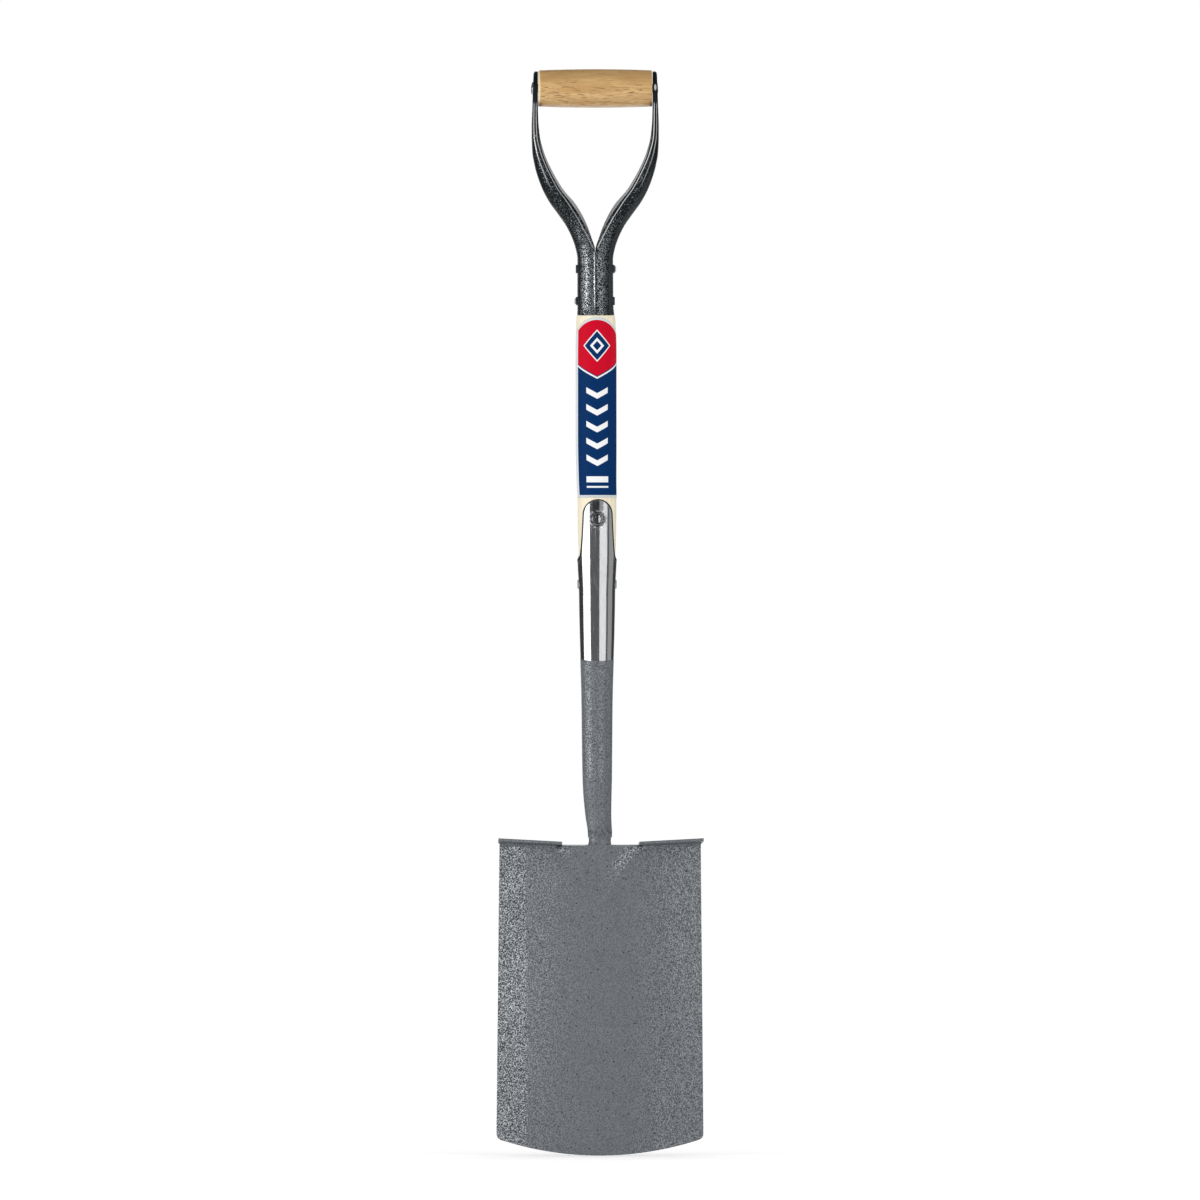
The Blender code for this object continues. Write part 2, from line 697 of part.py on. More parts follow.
def build_spade():
    steel = finish("hammered grey paint", (0.14, 0.155, 0.165), 0.42, 0.3)
    black = finish("hammered black paint", (0.012, 0.013, 0.015), 0.25, 0.1)
    bright = finish("bare steel", (0.56, 0.57, 0.58), 0.28, 1.0)
    ash = finish("ash", (0.85, 0.74, 0.52), 0.45, 0.0)
    beech = finish("varnished hardwood", (0.55, 0.33, 0.12), 0.35, 0.0)
    film = finish("printed film", (0.02, 0.06, 0.17), 0.3, 0.0)
    strap_hole, socket_hole = make_head(steel)
    sleeve_holes = [
        hole(f"{name}_sleeve_hole", SLEEVE_SHANK_RADIUS + GAP, 60 * MM, "X", height)
        for name, height in SLEEVE_RIVET_HEIGHTS.items()
    ]
    make_shaft(ash, [strap_hole, socket_hole, *sleeve_holes])
    rod_hole = hole("grip_rod_hole", GRIP_ROD_RADIUS + GAP, 150 * MM, "X", GRIP_HEIGHT)
    for side, name in ((-1, "left"), (1, "right")):
        make_arm(side, name, black, sleeve_holes, rod_hole)
    make_grip(beech)
    make_grip_rivet(bright)
    for side, (name, height) in zip((1, -1), SLEEVE_RIVET_HEIGHTS.items()):
        make_sleeve_rivet(name, side, height, black)
    make_strap_rivet(bright)
    make_socket_rivet(bright)
    make_label(film)


clear_scene()
pieces = new_collection("digging_spade")
tools = new_collection("cutters")
datum = bpy.data.objects.new("cutting_edge", None)
datum.location = (0, 0, -HANG_HEIGHT)
pieces.objects.link(datum)
build_spade()
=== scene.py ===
# Digging spade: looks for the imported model. Lengths in the code are millimetres, and heights
# count up from the cutting edge; a finished piece is scaled to metres and set down where the frame has it.
import math

import bmesh
import bpy
from mathutils import Matrix, Vector, noise


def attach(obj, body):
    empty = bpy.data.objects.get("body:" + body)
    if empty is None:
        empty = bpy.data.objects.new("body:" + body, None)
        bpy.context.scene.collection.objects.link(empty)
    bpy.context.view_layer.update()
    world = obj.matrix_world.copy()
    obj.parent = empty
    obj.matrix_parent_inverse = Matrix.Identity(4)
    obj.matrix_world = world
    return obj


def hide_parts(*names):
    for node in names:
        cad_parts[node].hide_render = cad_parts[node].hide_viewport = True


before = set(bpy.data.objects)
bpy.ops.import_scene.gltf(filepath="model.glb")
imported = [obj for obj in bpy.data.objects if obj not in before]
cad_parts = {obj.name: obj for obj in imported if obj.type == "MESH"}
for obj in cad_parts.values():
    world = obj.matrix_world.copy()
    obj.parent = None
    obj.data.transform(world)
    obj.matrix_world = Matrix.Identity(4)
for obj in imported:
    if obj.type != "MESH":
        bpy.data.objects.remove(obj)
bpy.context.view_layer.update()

mm = 0.001
edgeLevel = -965.55  # the cutting edge, from the middle of the grip's underside


def level(height):  # a height over the cutting edge, in the frame's metres
    return (height + edgeLevel) * mm


# The finishes are sums of shader sockets. A Wire is one socket, with arithmetic.
class Wire:
    def __init__(self, finish, socket):
        self.finish = finish
        self.socket = socket

    def __add__(self, other):
        return self.finish.sum("ADD", self, other)

    def __sub__(self, other):
        return self.finish.sum("SUBTRACT", self, other)

    def __rsub__(self, other):
        return self.finish.sum("SUBTRACT", other, self)

    def __mul__(self, other):
        return self.finish.sum("MULTIPLY", self, other)

    def __truediv__(self, other):
        return self.finish.sum("DIVIDE", self, other)

    __radd__ = __add__
    __rmul__ = __mul__


class Finish:
    def __init__(self, name, **fixed):
        self.material = bpy.data.materials.new(name)
        self.material.use_nodes = True
        self.tree = self.material.node_tree
        self.shader = self.tree.nodes["Principled BSDF"]
        self.use(**fixed)

    def set(self, node, inputs):
        for key, value in inputs.items():
            if isinstance(value, Wire):
                self.tree.links.new(value.socket, node.inputs[key])
            else:
                node.inputs[key].default_value = value

    def node(self, kind, settings=None, inputs=None, output=0):
        made = self.tree.nodes.new("ShaderNode" + kind)
        for key, value in (settings or {}).items():
            setattr(made, key, value)
        self.set(made, inputs or {})
        return Wire(self, made.outputs[output])

    def sum(self, operation, *values):
        return self.node("Math", {"operation": operation}, dict(enumerate(values)))

    def size(self, value):  # without its sign
        return self.sum("ABSOLUTE", value)

    def least(self, first, second):
        return self.sum("MINIMUM", first, second)

    def most(self, first, second):
        return self.sum("MAXIMUM", first, second)

    def away(self, across, up):  # distance from a middle
        return self.sum("SQRT", across * across + up * up)

    def ramp(self, value, low, high):  # smooth 0 to 1 as value goes from low to high
        settings = {"interpolation_type": "SMOOTHSTEP"}
        return self.node("MapRange", settings, {0: value, 1: low, 2: high, 3: 0.0, 4: 1.0})

    def fall(self, value, low, high):  # smooth 1 to 0
        return 1 - self.ramp(value, low, high)

    def mix(self, factor, first, second):  # colours
        inputs = {0: factor}
        for place, colour in ((6, first), (7, second)):
            inputs[place] = colour if isinstance(colour, Wire) else (*colour, 1)
        return self.node("Mix", {"data_type": "RGBA"}, inputs, 2)

    def marked(self, name):  # a value kept on the mesh's points
        return self.node("Attribute", {"attribute_name": name}, None, 2)

    def position(self, scale=(1, 1, 1), turn=(0, 0, 0), shift=(0, 0, 0)):
        spot = self.node("TexCoord", output=3)
        inputs = {"Vector": spot, "Scale": scale, "Rotation": turn, "Location": shift}
        return self.node("Mapping", None, inputs)

    def axes(self, spot):
        split = self.tree.nodes.new("ShaderNodeSeparateXYZ")
        self.tree.links.new(spot.socket, split.inputs[0])
        return [Wire(self, out) for out in split.outputs]

    def rays(self):
        path = self.tree.nodes.new("ShaderNodeLightPath")
        return [Wire(self, path.outputs[f"Is {kind} Ray"]) for kind in ("Camera", "Glossy", "Transmission")]

    def noise(self, spot, scale, detail=2.0, roughness=0.5, distortion=0.0):
        inputs = {"Vector": spot, "Scale": scale, "Detail": detail, "Roughness": roughness}
        inputs["Distortion"] = distortion
        return self.node("TexNoise", None, inputs)

    def grain(self, stretch, scale, *more):
        return self.noise(self.position(stretch), scale, *more)

    def cells(self, spot, scale, feature="F1", smooth=0.5, output=0):
        inputs = {"Vector": spot, "Scale": scale, "Randomness": 1.0}
        if feature == "SMOOTH_F1":
            inputs["Smoothness"] = smooth
        return self.node("TexVoronoi", {"feature": feature}, inputs, output)

    def bump(self, height, depth, normal=None):
        inputs = {"Height": height, "Distance": depth, "Strength": 1.0}
        if normal:
            inputs["Normal"] = normal
        return self.node("Bump", None, inputs)

    def use(self, **inputs):
        self.set(self.shader, {key.replace("_", " "): value for key, value in inputs.items()})
        return self.material


# the forged head: hammered grey paint, and bare steel above the line to which it was dipped
hammeredPaint = {
    "cell": 1.15 * mm,
    "depth": 0.16 * mm,
    "valley": (0.133, 0.142, 0.156),
    "paintedShade": (0.042, 0.046, 0.052),
    "crest": (0.25, 0.265, 0.285),
    "litCrest": (0.40, 0.42, 0.44),
    "sheen": (0.25, 0.265, 0.28),
    "cloud": (0.09, 0.10, 0.107),
    "paintedHighlight": (0.55, 0.56, 0.57),
    "flake": 0.75,
    "speck": (0.02, 0.023, 0.026),
    "pinhole": 4.8 * mm,
    "steel": (0.60, 0.61, 0.62),
    "ground": (0.47, 0.475, 0.485),
    "scale": (0.05, 0.052, 0.055),
    "darkReflection": (0.06, 0.063, 0.066),
    "dipLine": level(455),
    "rivetHeight": level(586.2),
    "bladeTop": level(283.5),
}


def hammerMarks(finish, spot, cell):  # rounded dimples that run into each other, about 0.4 to 1
    drift = finish.node("VectorMath", {"operation": "SCALE"}, {
        0: finish.node("TexNoise", None, {"Vector": spot, "Scale": 0.5 / cell, "Detail": 0.0}, 1),
        "Scale": cell * 0.8})
    moved = finish.node("VectorMath", {"operation": "ADD"}, {0: spot, 1: drift})
    dimples = finish.cells(moved, 1 / cell, "SMOOTH_F1", 0.6)
    ripple = finish.noise(spot, 0.8 / cell, 0.5, 0.4, 0.4)
    return dimples * 0.9 + ripple * 0.7


def makeForgedFinish():
    look = hammeredPaint
    finish = Finish("hammeredGreyPaint", Specular_IOR_Level=0.25, Coat_Roughness=0.08)
    ramp, fall, mix = finish.ramp, finish.fall, finish.mix
    spot = finish.position()
    x, _, z = finish.axes(spot)
    marks = hammerMarks(finish, spot, look["cell"])
    cloud = finish.noise(spot, 38, 3.0, 0.55)
    # the marks are made deeper along the blade's sides, on the fan's flank, in a patch left of the neck's root
    # and in a streak up the neck, the bands where the light catches the blade; their lighter crests there are a
    # painted highlight
    onBlade = fall(z, look["bladeTop"], look["bladeTop"] + 2 * mm)
    front = finish.marked("front")
    wobble = (finish.noise(spot, 90) - 0.5) * (12 * mm)
    left = fall(x + wobble * 0.3, -70 * mm, -65 * mm) * 0.54
    left = left + fall(x + wobble, -62 * mm, -14 * mm) * 0.21
    right = ramp(x + wobble, 20 * mm, 66 * mm) * 0.42
    flank = finish.size((x - 35.4 * mm) * 0.773 - (z - level(286.5)) * 0.634)
    onFan = ramp(z + wobble, level(250), level(276))
    broken = 0.6 + ramp(finish.noise(spot, 330, 1.0), 0.42, 0.58) * 0.6
    flank = fall(flank - wobble * 0.3 - onFan * 3 * mm, 0.0, 7 * mm) * onFan * broken
    patch = finish.away(x + 31 * mm, z - level(281))
    patch = fall(patch + wobble * 0.4, 1 * mm, 10 * mm) * 0.7
    masks = (left + right + flank + patch) * front + (1 - front) * 0.26
    onNeck = ramp(z, level(296), level(320))
    streak = fall(finish.size(x + 7 * mm + wobble * 0.2), 1.5 * mm, 6 * mm)
    upperNeck = ramp(z + wobble, level(338), level(372))
    thick = finish.least(masks * onBlade + upperNeck * (streak * front * 0.3 + 0.18) + 0.18, 1.0)
    flake = ramp(marks, 0.75, 0.89) * thick
    # painted shade darkens the dimples of the marks, most in the lit bands and on the neck, and a painted sheen
    # lightens their crests
    grey = mix(ramp(0.75 - marks, 0.0, 0.12) * thick * 0.95, look["valley"], look["paintedShade"])
    # painted highlight: in the lit bands the flakes take a lighter crest colour
    grey = mix(flake, grey, mix(thick, look["crest"], look["litCrest"]))
    grey = mix(ramp(marks, 0.76, 0.92) * (0.24 + onNeck * 0.06), grey, look["sheen"])
    grey = mix(ramp(0.63 - marks, 0.0, 0.12) * (0.28 + onNeck * 0.42), grey, look["paintedShade"])
    grey = mix(ramp(cloud, 0.3, 0.72) * 0.12, grey, look["cloud"])
    pitDistance = finish.cells(spot, 1 / look["pinhole"])
    pitChance = finish.axes(finish.cells(spot, 1 / look["pinhole"], output=1))[0]
    pits = fall(pitDistance, 0.09, 0.17) * ramp(pitChance, 0.05, 0.5)
    grey = mix(pits * 0.9, grey, look["speck"])
    # painted shade at the neck's root, a painted highlight along the blade's top edge, stronger on the left, and a
    # painted shadow under each tread's inner end
    side = finish.size(x - 1.5 * mm)
    root = fall(finish.size(z - level(297)), 2 * mm, 9 * mm) * ramp(finish.noise(spot, 420), 0.45, 0.62)
    grey = mix(root * fall(side, 12 * mm, 14 * mm) * 0.55, grey, look["paintedShade"])
    paintedHighlight = ramp(z, level(284.9), level(285.5)) * fall(z, level(286.6), level(287.4))
    paintedHighlight = paintedHighlight * ramp(side, 12.5 * mm, 14 * mm) * fall(side, 34 * mm, 36 * mm) * front
    grey = mix(paintedHighlight * (0.7 - ramp(x, -5 * mm, 5 * mm) * 0.4), grey, look["paintedHighlight"])
    treadShadow = finish.away(side - 37.6 * mm, (z - level(284.6)) * 2.2)
    grey = mix(fall(treadShadow, 1.4 * mm, 2.8 * mm) * 0.85, grey, look["speck"])
    # bare polished steel above the line to which the forging was dipped
    wander = (finish.grain((1, 1, 0.2), 260) - 0.5) * (1.4 * mm)
    bare = ramp(z + wander - x * x * 7.0, look["dipLine"] - 0.15 * mm, look["dipLine"] + 0.25 * mm)
    grind = finish.grain((1, 1, 0.035), 2600, 3.0, 0.6)
    wave = finish.grain((1, 1, 0.18), 120)
    scratch = ramp(finish.grain((1, 1, 0.02), 1500, 1.0, 0.3), 0.62, 0.72)
    steel = mix(ramp(grind, 0.35, 0.7) * 0.5, look["steel"], look["ground"])
    rim = finish.marked("rim")  # painted shade along the straps' edges, in a band that widens toward the tube's sides
    steel = mix(ramp(rim, 0.2, 0.5), steel, look["scale"])
    # painted dark reflection round the strap rivet and in a band above it
    drop = z - look["rivetHeight"]
    far = finish.away(x, drop)
    stray = (finish.noise(spot, 700, 1.0) - 0.5) * (3 * mm)
    darkReflection = fall(far + stray, 6.6 * mm, 8.0 * mm)
    crown = ramp(drop + stray, 5.5 * mm, 9 * mm) * fall(finish.size(x + stray), 4.0 * mm, 6.2 * mm)
    steel = mix(finish.most(darkReflection, crown * 0.85) * 0.85, steel, look["darkReflection"])
    painted = 1 - bare
    rough = (0.17 + (1 - flake) * 0.12) * painted + (0.07 + grind * 0.09 + scratch * 0.1 + rim * 0.25) * bare
    # uneven blows round the strap rivet
    blows = fall(far, 6.5 * mm, 13 * mm) * (finish.noise(spot, 420, 2.0, 0.6, 0.8) - 0.5)
    skin = finish.bump((marks * (0.3 + thick * 2.2) - pits * 1.5) * painted, look["depth"])
    skin = finish.bump((grind * 0.05 + wave * 0.9 + blows * 5.0) * bare, 0.05 * mm, skin)
    skin = finish.bump(painted, 0.08 * mm, skin)  # the paint ends in a lip
    metal = flake * look["flake"] * painted + bare * (1 - rim * 0.5)
    return finish.use(Base_Color=mix(bare, grey, steel), Roughness=rough, Metallic=metal, Normal=skin,
                      Coat_Weight=painted * flake * 0.5)


# the pressed handle and the sleeve's rivets
blackPaint = {
    "cell": 0.95 * mm,
    "depth": 0.22 * mm,
    "valley": (0.006, 0.0085, 0.010),
    "smooth": (0.034, 0.039, 0.042),
    "crest": (0.225, 0.245, 0.255),
    "paintedHighlight": (0.93, 0.94, 0.95),
    "paleAndReflected": (0.46, 0.47, 0.48),
}


def makeBlackFinish():
    look = blackPaint
    finish = Finish("hammeredBlackPaint", Specular_IOR_Level=0.12, Coat_Roughness=0.08)
    ramp, fall, mix = finish.ramp, finish.fall, finish.mix
    spot = finish.position()
    x, y, z = finish.axes(spot)
    marks = hammerMarks(finish, spot, look["cell"])
    cloud = finish.noise(spot, 60, 3.0)
    speck = finish.marked("speck")
    flake = ramp(marks - (1 - speck) * 0.3, 0.72, 0.87)
    # painted sheen: the calm parts of the sleeve and of the lower right arm take a lighter colour
    onSleeve = fall(z, level(830), level(845))
    onRight = ramp(x, 5 * mm, 15 * mm) * fall(z, level(895), level(925))
    smooth = ramp(1 - speck, 0.72, 0.98) * finish.most(onSleeve, onRight)
    colour = mix(flake, mix(smooth * 0.9, look["valley"], look["smooth"]), look["crest"])
    # a painted reflection in pale grey inside the rear lip, and a pale spot on the right eye's rim
    eyeSpot = finish.away((x - 52.9 * mm) * 2.6, z - level(984.2))
    eyeSpot = fall(eyeSpot, 2.0 * mm, 3.4 * mm) * fall(y, -8 * mm, -6 * mm)
    paleAndReflected = finish.least(finish.marked("paleAndReflected") + eyeSpot, 1.0)
    colour = mix(paleAndReflected, colour, look["paleAndReflected"])
    # and a painted highlight, near white with some metal, along the pressed crests, lines and the left seam
    paintedHighlight = finish.least(finish.marked("crest") * (0.75 + finish.noise(spot, 700, 1.0) * 0.5), 1.0)
    colour = mix(paintedHighlight, colour, look["paintedHighlight"])
    skin = finish.bump(marks * (1 - paintedHighlight), look["depth"])
    metal = finish.most(flake * 0.95 * (1 - paleAndReflected), paintedHighlight * 0.35)
    rough = 0.14 + cloud * 0.08 + (1 - flake) * 0.06
    return finish.use(Base_Color=colour, Roughness=rough, Metallic=metal, Normal=skin, Coat_Weight=flake * 0.6)


ash = {
    "ring": 2.6 * mm,
    "light": (0.90, 0.83, 0.63),
    "late": (0.80, 0.69, 0.47),
    "fleck": (0.92, 0.86, 0.68),
    "pore": (0.56, 0.42, 0.24),
}


def makeAshFinish():
    look = ash
    finish = Finish("lacqueredAsh", Specular_IOR_Level=0.45, Coat_Roughness=0.3, Coat_Weight=0.2)
    ramp, mix = finish.ramp, finish.mix
    sway = finish.grain((1, 1, 0.12), 14)
    x, y, z = finish.axes(finish.position((1, 1, 1), (0, 0, 0.5), (0.031, 0.012, 0)))
    radius = finish.away(x, y) + (sway - 0.5) * (9 * mm) + z * 0.004
    ring = finish.sum("FRACT", radius / look["ring"])
    late = ramp(ring, 0.45, 0.96)
    early = finish.fall(ring, 0.02, 0.3)
    pores = finish.grain((1, 1, 0.022), 2300, 2.0, 0.6)
    fleck = finish.grain((1, 1, 0.05), 900)
    broad = finish.grain((1, 1, 0.05), 60)
    colour = mix(late * 0.45 + ramp(broad, 0.35, 0.7) * 0.25, look["light"], look["late"])
    colour = mix(ramp(fleck, 0.5, 0.75) * 0.25, colour, look["fleck"])
    pores = ramp(pores, 0.56, 0.66) * (0.25 + early * 0.75)
    colour = mix(pores * 0.75, colour, look["pore"])
    skin = finish.bump((1 - pores) + fleck * 0.3, 0.03 * mm)
    return finish.use(Base_Color=colour, Roughness=0.42 + fleck * 0.12, Normal=skin)


hardwood = {
    "light": (0.70, 0.455, 0.19),
    "dark": (0.53, 0.305, 0.105),
    "band": (0.70, 0.46, 0.19),
    "cloud": (0.45, 0.23, 0.07),
    "pore": (0.20, 0.095, 0.03),
    "hair": (0.42, 0.23, 0.075),
    "handled": (0.34, 0.20, 0.07),
    "lowEndsDarker": (0.24, 0.11, 0.045),
    "cutEnd": (0.84, 0.68, 0.44),
    "middle": 1.6 * mm,  # the grip's middle is this far left of the axis
}


def makeHardwoodFinish():
    look = hardwood
    gripLevel = 983.4 + edgeLevel
    finish = Finish("varnishedHardwood", Specular_IOR_Level=0.5, Coat_Roughness=0.12, Coat_Weight=0.5)
    ramp, mix = finish.ramp, finish.mix
    x, _, z = finish.axes(finish.position())
    figure = finish.grain((0.16, 1, 1), 130, 3.0, 0.55, 0.4)
    band = finish.grain((0.05, 1, 1), 420)
    cloud = finish.grain((1, 1, 1), 30)
    colour = mix(ramp(figure, 0.32, 0.68), look["dark"], look["light"])
    colour = mix(ramp(band, 0.4, 0.75) * 0.35, colour, look["band"])
    colour = mix(ramp(cloud, 0.4, 0.7) * 0.2, colour, look["cloud"])
    streak = finish.grain((0.10, 1, 1), 1150, 1.0, 0.4)
    patch = finish.grain((0.4, 1, 1), 110, 1.0)
    lower = ramp(z, (gripLevel + 4) * mm, (gripLevel - 6) * mm)
    pores = ramp(streak, 0.58, 0.65) * ramp(patch + lower * 0.2, 0.47, 0.62)
    colour = mix(pores * 0.85, colour, look["pore"])
    hair = finish.grain((0.045, 1, 1), 950, 3.0, 0.65)
    colour = mix(ramp(hair, 0.5, 0.62) * 0.55, colour, look["hair"])
    # darker on top from hands, darker low at the ends, and paler on the cut ends, which take less varnish
    handled = ramp(z, (gripLevel + 1) * mm, (gripLevel + 15) * mm)
    colour = mix(handled * 0.5, colour, look["handled"])
    side = finish.size(x + look["middle"])
    lowEndsDarker = ramp(side, 47 * mm, 52 * mm) * ramp(z, (gripLevel - 9) * mm, (gripLevel - 16) * mm)
    colour = mix(lowEndsDarker * 0.55, colour, look["lowEndsDarker"])
    colour = mix(ramp(side, 51.2 * mm, 51.7 * mm) * 0.9, colour, look["cutEnd"])
    skin = finish.bump((1 - pores) + band * 0.2, 0.02 * mm)
    return finish.use(Base_Color=colour, Roughness=0.36 + pores * 0.2, Normal=skin)


rivets = {
    "gripRod": 4.0,
    "gripHead": 5.9,
    "gripClosed": 4.9,
    "sleeveHeights": (816.8, 787.3),
    "sleeveTube": 16.5,
    "disc": 3.9,
    "discThick": 1.5,
    "strapHeight": 586.2,
    "strapHead": 6.0,
    "socketHeight": 526.0,
    "socketTube": 16.9,
    "socketHead": 4.0,
    # colours
    "steel": (0.50, 0.51, 0.52),
    "bright": (0.66, 0.67, 0.68),
    "ring": (0.22, 0.225, 0.23),
    "scale": (0.05, 0.052, 0.055),
    "plate": (0.33, 0.35, 0.36),
}


def makeSteelFinish():
    look = rivets
    finish = Finish("bareSteel", Specular_IOR_Level=0.5)
    ramp, fall, mix = finish.ramp, finish.fall, finish.mix
    spot = finish.position()
    dents = finish.noise(spot, 320)
    fine = finish.noise(spot, 2400)
    colour = mix(ramp(dents, 0.35, 0.7), look["steel"], look["bright"])
    # the strap's rivet: a dull ring, painted shade in its groove, and painted shade over the closed disc's left
    # side
    x, _, z = finish.axes(spot)
    far = finish.away(x, z - hammeredPaint["rivetHeight"]) + (finish.noise(spot, 900, 1.0) - 0.5) * (1.5 * mm)
    onStrap = fall(far, 8 * mm, 9 * mm)
    shade = fall(x, 0.1 * mm, 1.0 * mm) * fall(far, 3.6 * mm, 4.0 * mm)
    colour = mix(onStrap * ramp(far, 3.4 * mm, 4.0 * mm), colour, look["ring"])
    groove = ramp(far, 3.5 * mm, 3.8 * mm) * fall(far, 4.3 * mm, 4.8 * mm)
    colour = mix(finish.most(groove, shade * 0.9), colour, look["scale"])
    # the socket's rivet is closed to two dull plates
    rise = finish.size(z - level(look["socketHeight"]))
    plate = fall(rise, 6 * mm, 7 * mm) * ramp(finish.size(x), 15 * mm, 15.6 * mm)
    colour = mix(plate, colour, look["plate"])
    skin = finish.bump(dents + fine * 0.05, 0.18 * mm)
    rough = 0.16 + fine * 0.1 + plate * 0.3
    return finish.use(Base_Color=colour, Roughness=rough, Metallic=1 - plate * 0.8, Normal=skin)


film = {
    "navy": (0.0005, 0.028, 0.118),
    "red": (0.58, 0.002, 0.020),
    "silver": (0.66, 0.69, 0.71),
    "white": (0.86, 0.87, 0.88),
    "foot": 606.0,
    "length": 166.5,
    "shoulder": 151.0,
    "turns": (-84, 84),  # degrees from the front that it wraps to, left and right
    "halfWidth": 27.0,
    "border": 2.2,
    "leftBorder": 6.4,
    "slant": 0.55,  # of the chevrons and bars
    "chevron": 112,
    "barStep": 15.5,
    "diamond": 140,
    "blur": 0.12,
}


def makeFilmFinish():  # plain geometric print: a chevron field and stacked bars
    look = film
    finish = Finish("printedFilm", Specular_IOR_Level=0.04)
    ramp, fall, mix = finish.ramp, finish.fall, finish.mix
    s, v, _ = finish.axes(finish.node("UVMap", {"uv_map": "sheet"}))
    side, blur = finish.size(s), look["blur"]

    def inside(value, low, high):
        return ramp(value, low - blur, low + blur) * fall(value, high - blur, high + blur)

    arch = finish.sum("COSINE", s * (math.pi / 2 / look["halfWidth"])) * (look["length"] - look["shoulder"])
    toTop = look["shoulder"] + arch - v
    leftSide = (look["halfWidth"] + s) * (look["border"] / look["leftBorder"])
    fromSides = finish.least(look["halfWidth"] - s, leftSide)
    fromEdge = finish.least(finish.least(fromSides, v), toTop * 0.8)
    slope = v - side * look["slant"]
    colour = mix(ramp(slope, look["chevron"] - blur, look["chevron"] + blur), look["navy"], look["red"])
    whites = inside(slope, 109.4, 111.0)
    # stacked bars that point up, in the navy field
    place = finish.sum("FRACT", (slope - 26) / look["barStep"]) * look["barStep"]
    bars = inside(place, 3.0, 8.2) * inside(slope, 29, 104) * fall(side, 9.9, 10.15)
    # a diamond in the red field
    far = side * 1.15 + finish.size(v - look["diamond"])
    ringed = inside(far, 13.4, 14.9) + inside(far, 4.4, 7.4)
    # two rules at the foot
    feet = (inside(v, 9.0, 10.6) + inside(v, 14.0, 19.5)) * fall(side, 10.3, 10.6)
    colour = mix(fall(far, 13.4, 13.6), colour, look["navy"])
    colour = mix(finish.least(whites + bars + ringed + feet, 1.0), colour, look["white"])
    colour = mix(fall(fromEdge, look["border"] - blur, look["border"] + blur), colour, look["silver"])
    grain = finish.grain((1, 1, 0.1), 500)
    skin = finish.bump(grain, 0.02 * mm)
    return finish.use(Base_Color=colour, Roughness=0.42 + grain * 0.08, Normal=skin)


forgedFinish = makeForgedFinish()
blackFinish = makeBlackFinish()
ashFinish = makeAshFinish()
hardwoodFinish = makeHardwoodFinish()
steelFinish = makeSteelFinish()
filmFinish = makeFilmFinish()
print("finishes made")


def easeStep(value, low, high):
    t = min(max((value - low) / (high - low), 0), 1)
    return t * t * (3 - 2 * t)


def along(stations, height, column):  # smooth value through a table, without overshoot
    last = len(stations) - 2
    height = min(max(height, stations[0][0]), stations[-1][0])
    i = max(k for k in range(last + 1) if stations[k][0] <= height)

    def rise(k):
        return (stations[k + 1][column] - stations[k][column]) / (stations[k + 1][0] - stations[k][0])

    def tangent(k):
        if k in (0, last + 1):
            return rise(min(k, last))
        before, after = rise(k - 1), rise(k)
        return 0 if before * after <= 0 else 2 * before * after / (before + after)

    span = stations[i + 1][0] - stations[i][0]
    t = (height - stations[i][0]) / span
    start = (2 * t**3 - 3 * t**2 + 1) * stations[i][column] + (t**3 - 2 * t**2 + t) * span * tangent(i)
    return start + (3 * t**2 - 2 * t**3) * stations[i + 1][column] + (t**3 - t**2) * span * tangent(i + 1)


def lengthsAlong(points):
    lengths = [0]
    for a, b in zip(points, points[1:]):
        lengths.append(lengths[-1] + math.dist(a, b))
    return lengths


def bell(offset, width):
    return math.exp(-((offset / width) ** 2))


def drawnSheet(columns, rows, place, welded=False):  # a grid whose points are moved to place(column, row)
    shape = bmesh.new()
    bmesh.ops.create_grid(shape, x_segments=columns, y_segments=rows, size=1)
    for vert in shape.verts:
        vert.co = place(round((vert.co.x + 1) / 2 * columns), round((vert.co.y + 1) / 2 * rows))
    if welded:
        bmesh.ops.remove_doubles(shape, verts=shape.verts, dist=0.002)
        bmesh.ops.recalc_face_normals(shape, faces=shape.faces)
    return shape


def doubled(shape):  # a flat sheet closed with a second layer at height 1
    grown = bmesh.ops.extrude_face_region(shape, geom=shape.faces[:])
    raised = [v for v in grown["geom"] if isinstance(v, bmesh.types.BMVert)]
    bmesh.ops.translate(shape, verts=raised, vec=(0, 0, 1))


def turnedShape(profile, steps):  # (radius, height) points spun about Z
    shape = bmesh.new()
    verts = [shape.verts.new((radius, 0, height)) for radius, height in profile]
    edges = [shape.edges.new(pair) for pair in zip(verts, verts[1:])]
    bmesh.ops.spin(shape, geom=verts + edges, cent=(0, 0, 0), axis=(0, 0, 1), dvec=(0, 0, 0),
                   angle=math.tau, steps=steps, use_merge=True, use_duplicate=False)
    bmesh.ops.remove_doubles(shape, verts=shape.verts, dist=0.002)
    bmesh.ops.recalc_face_normals(shape, faces=shape.faces)
    return shape


def quarterRound(radius, height, rounding, points):  # from an end face round to the side
    turns = [math.pi / 2 * i / points for i in range(points + 1)]
    return [(radius - rounding * (1 - math.sin(a)), height - rounding * (1 - math.cos(a))) for a in turns]


def placeShape(shape, turn, height):
    bmesh.ops.rotate(shape, verts=shape.verts, cent=(0, 0, 0), matrix=turn)
    bmesh.ops.translate(shape, verts=shape.verts, vec=(0, 0, height))
    return shape


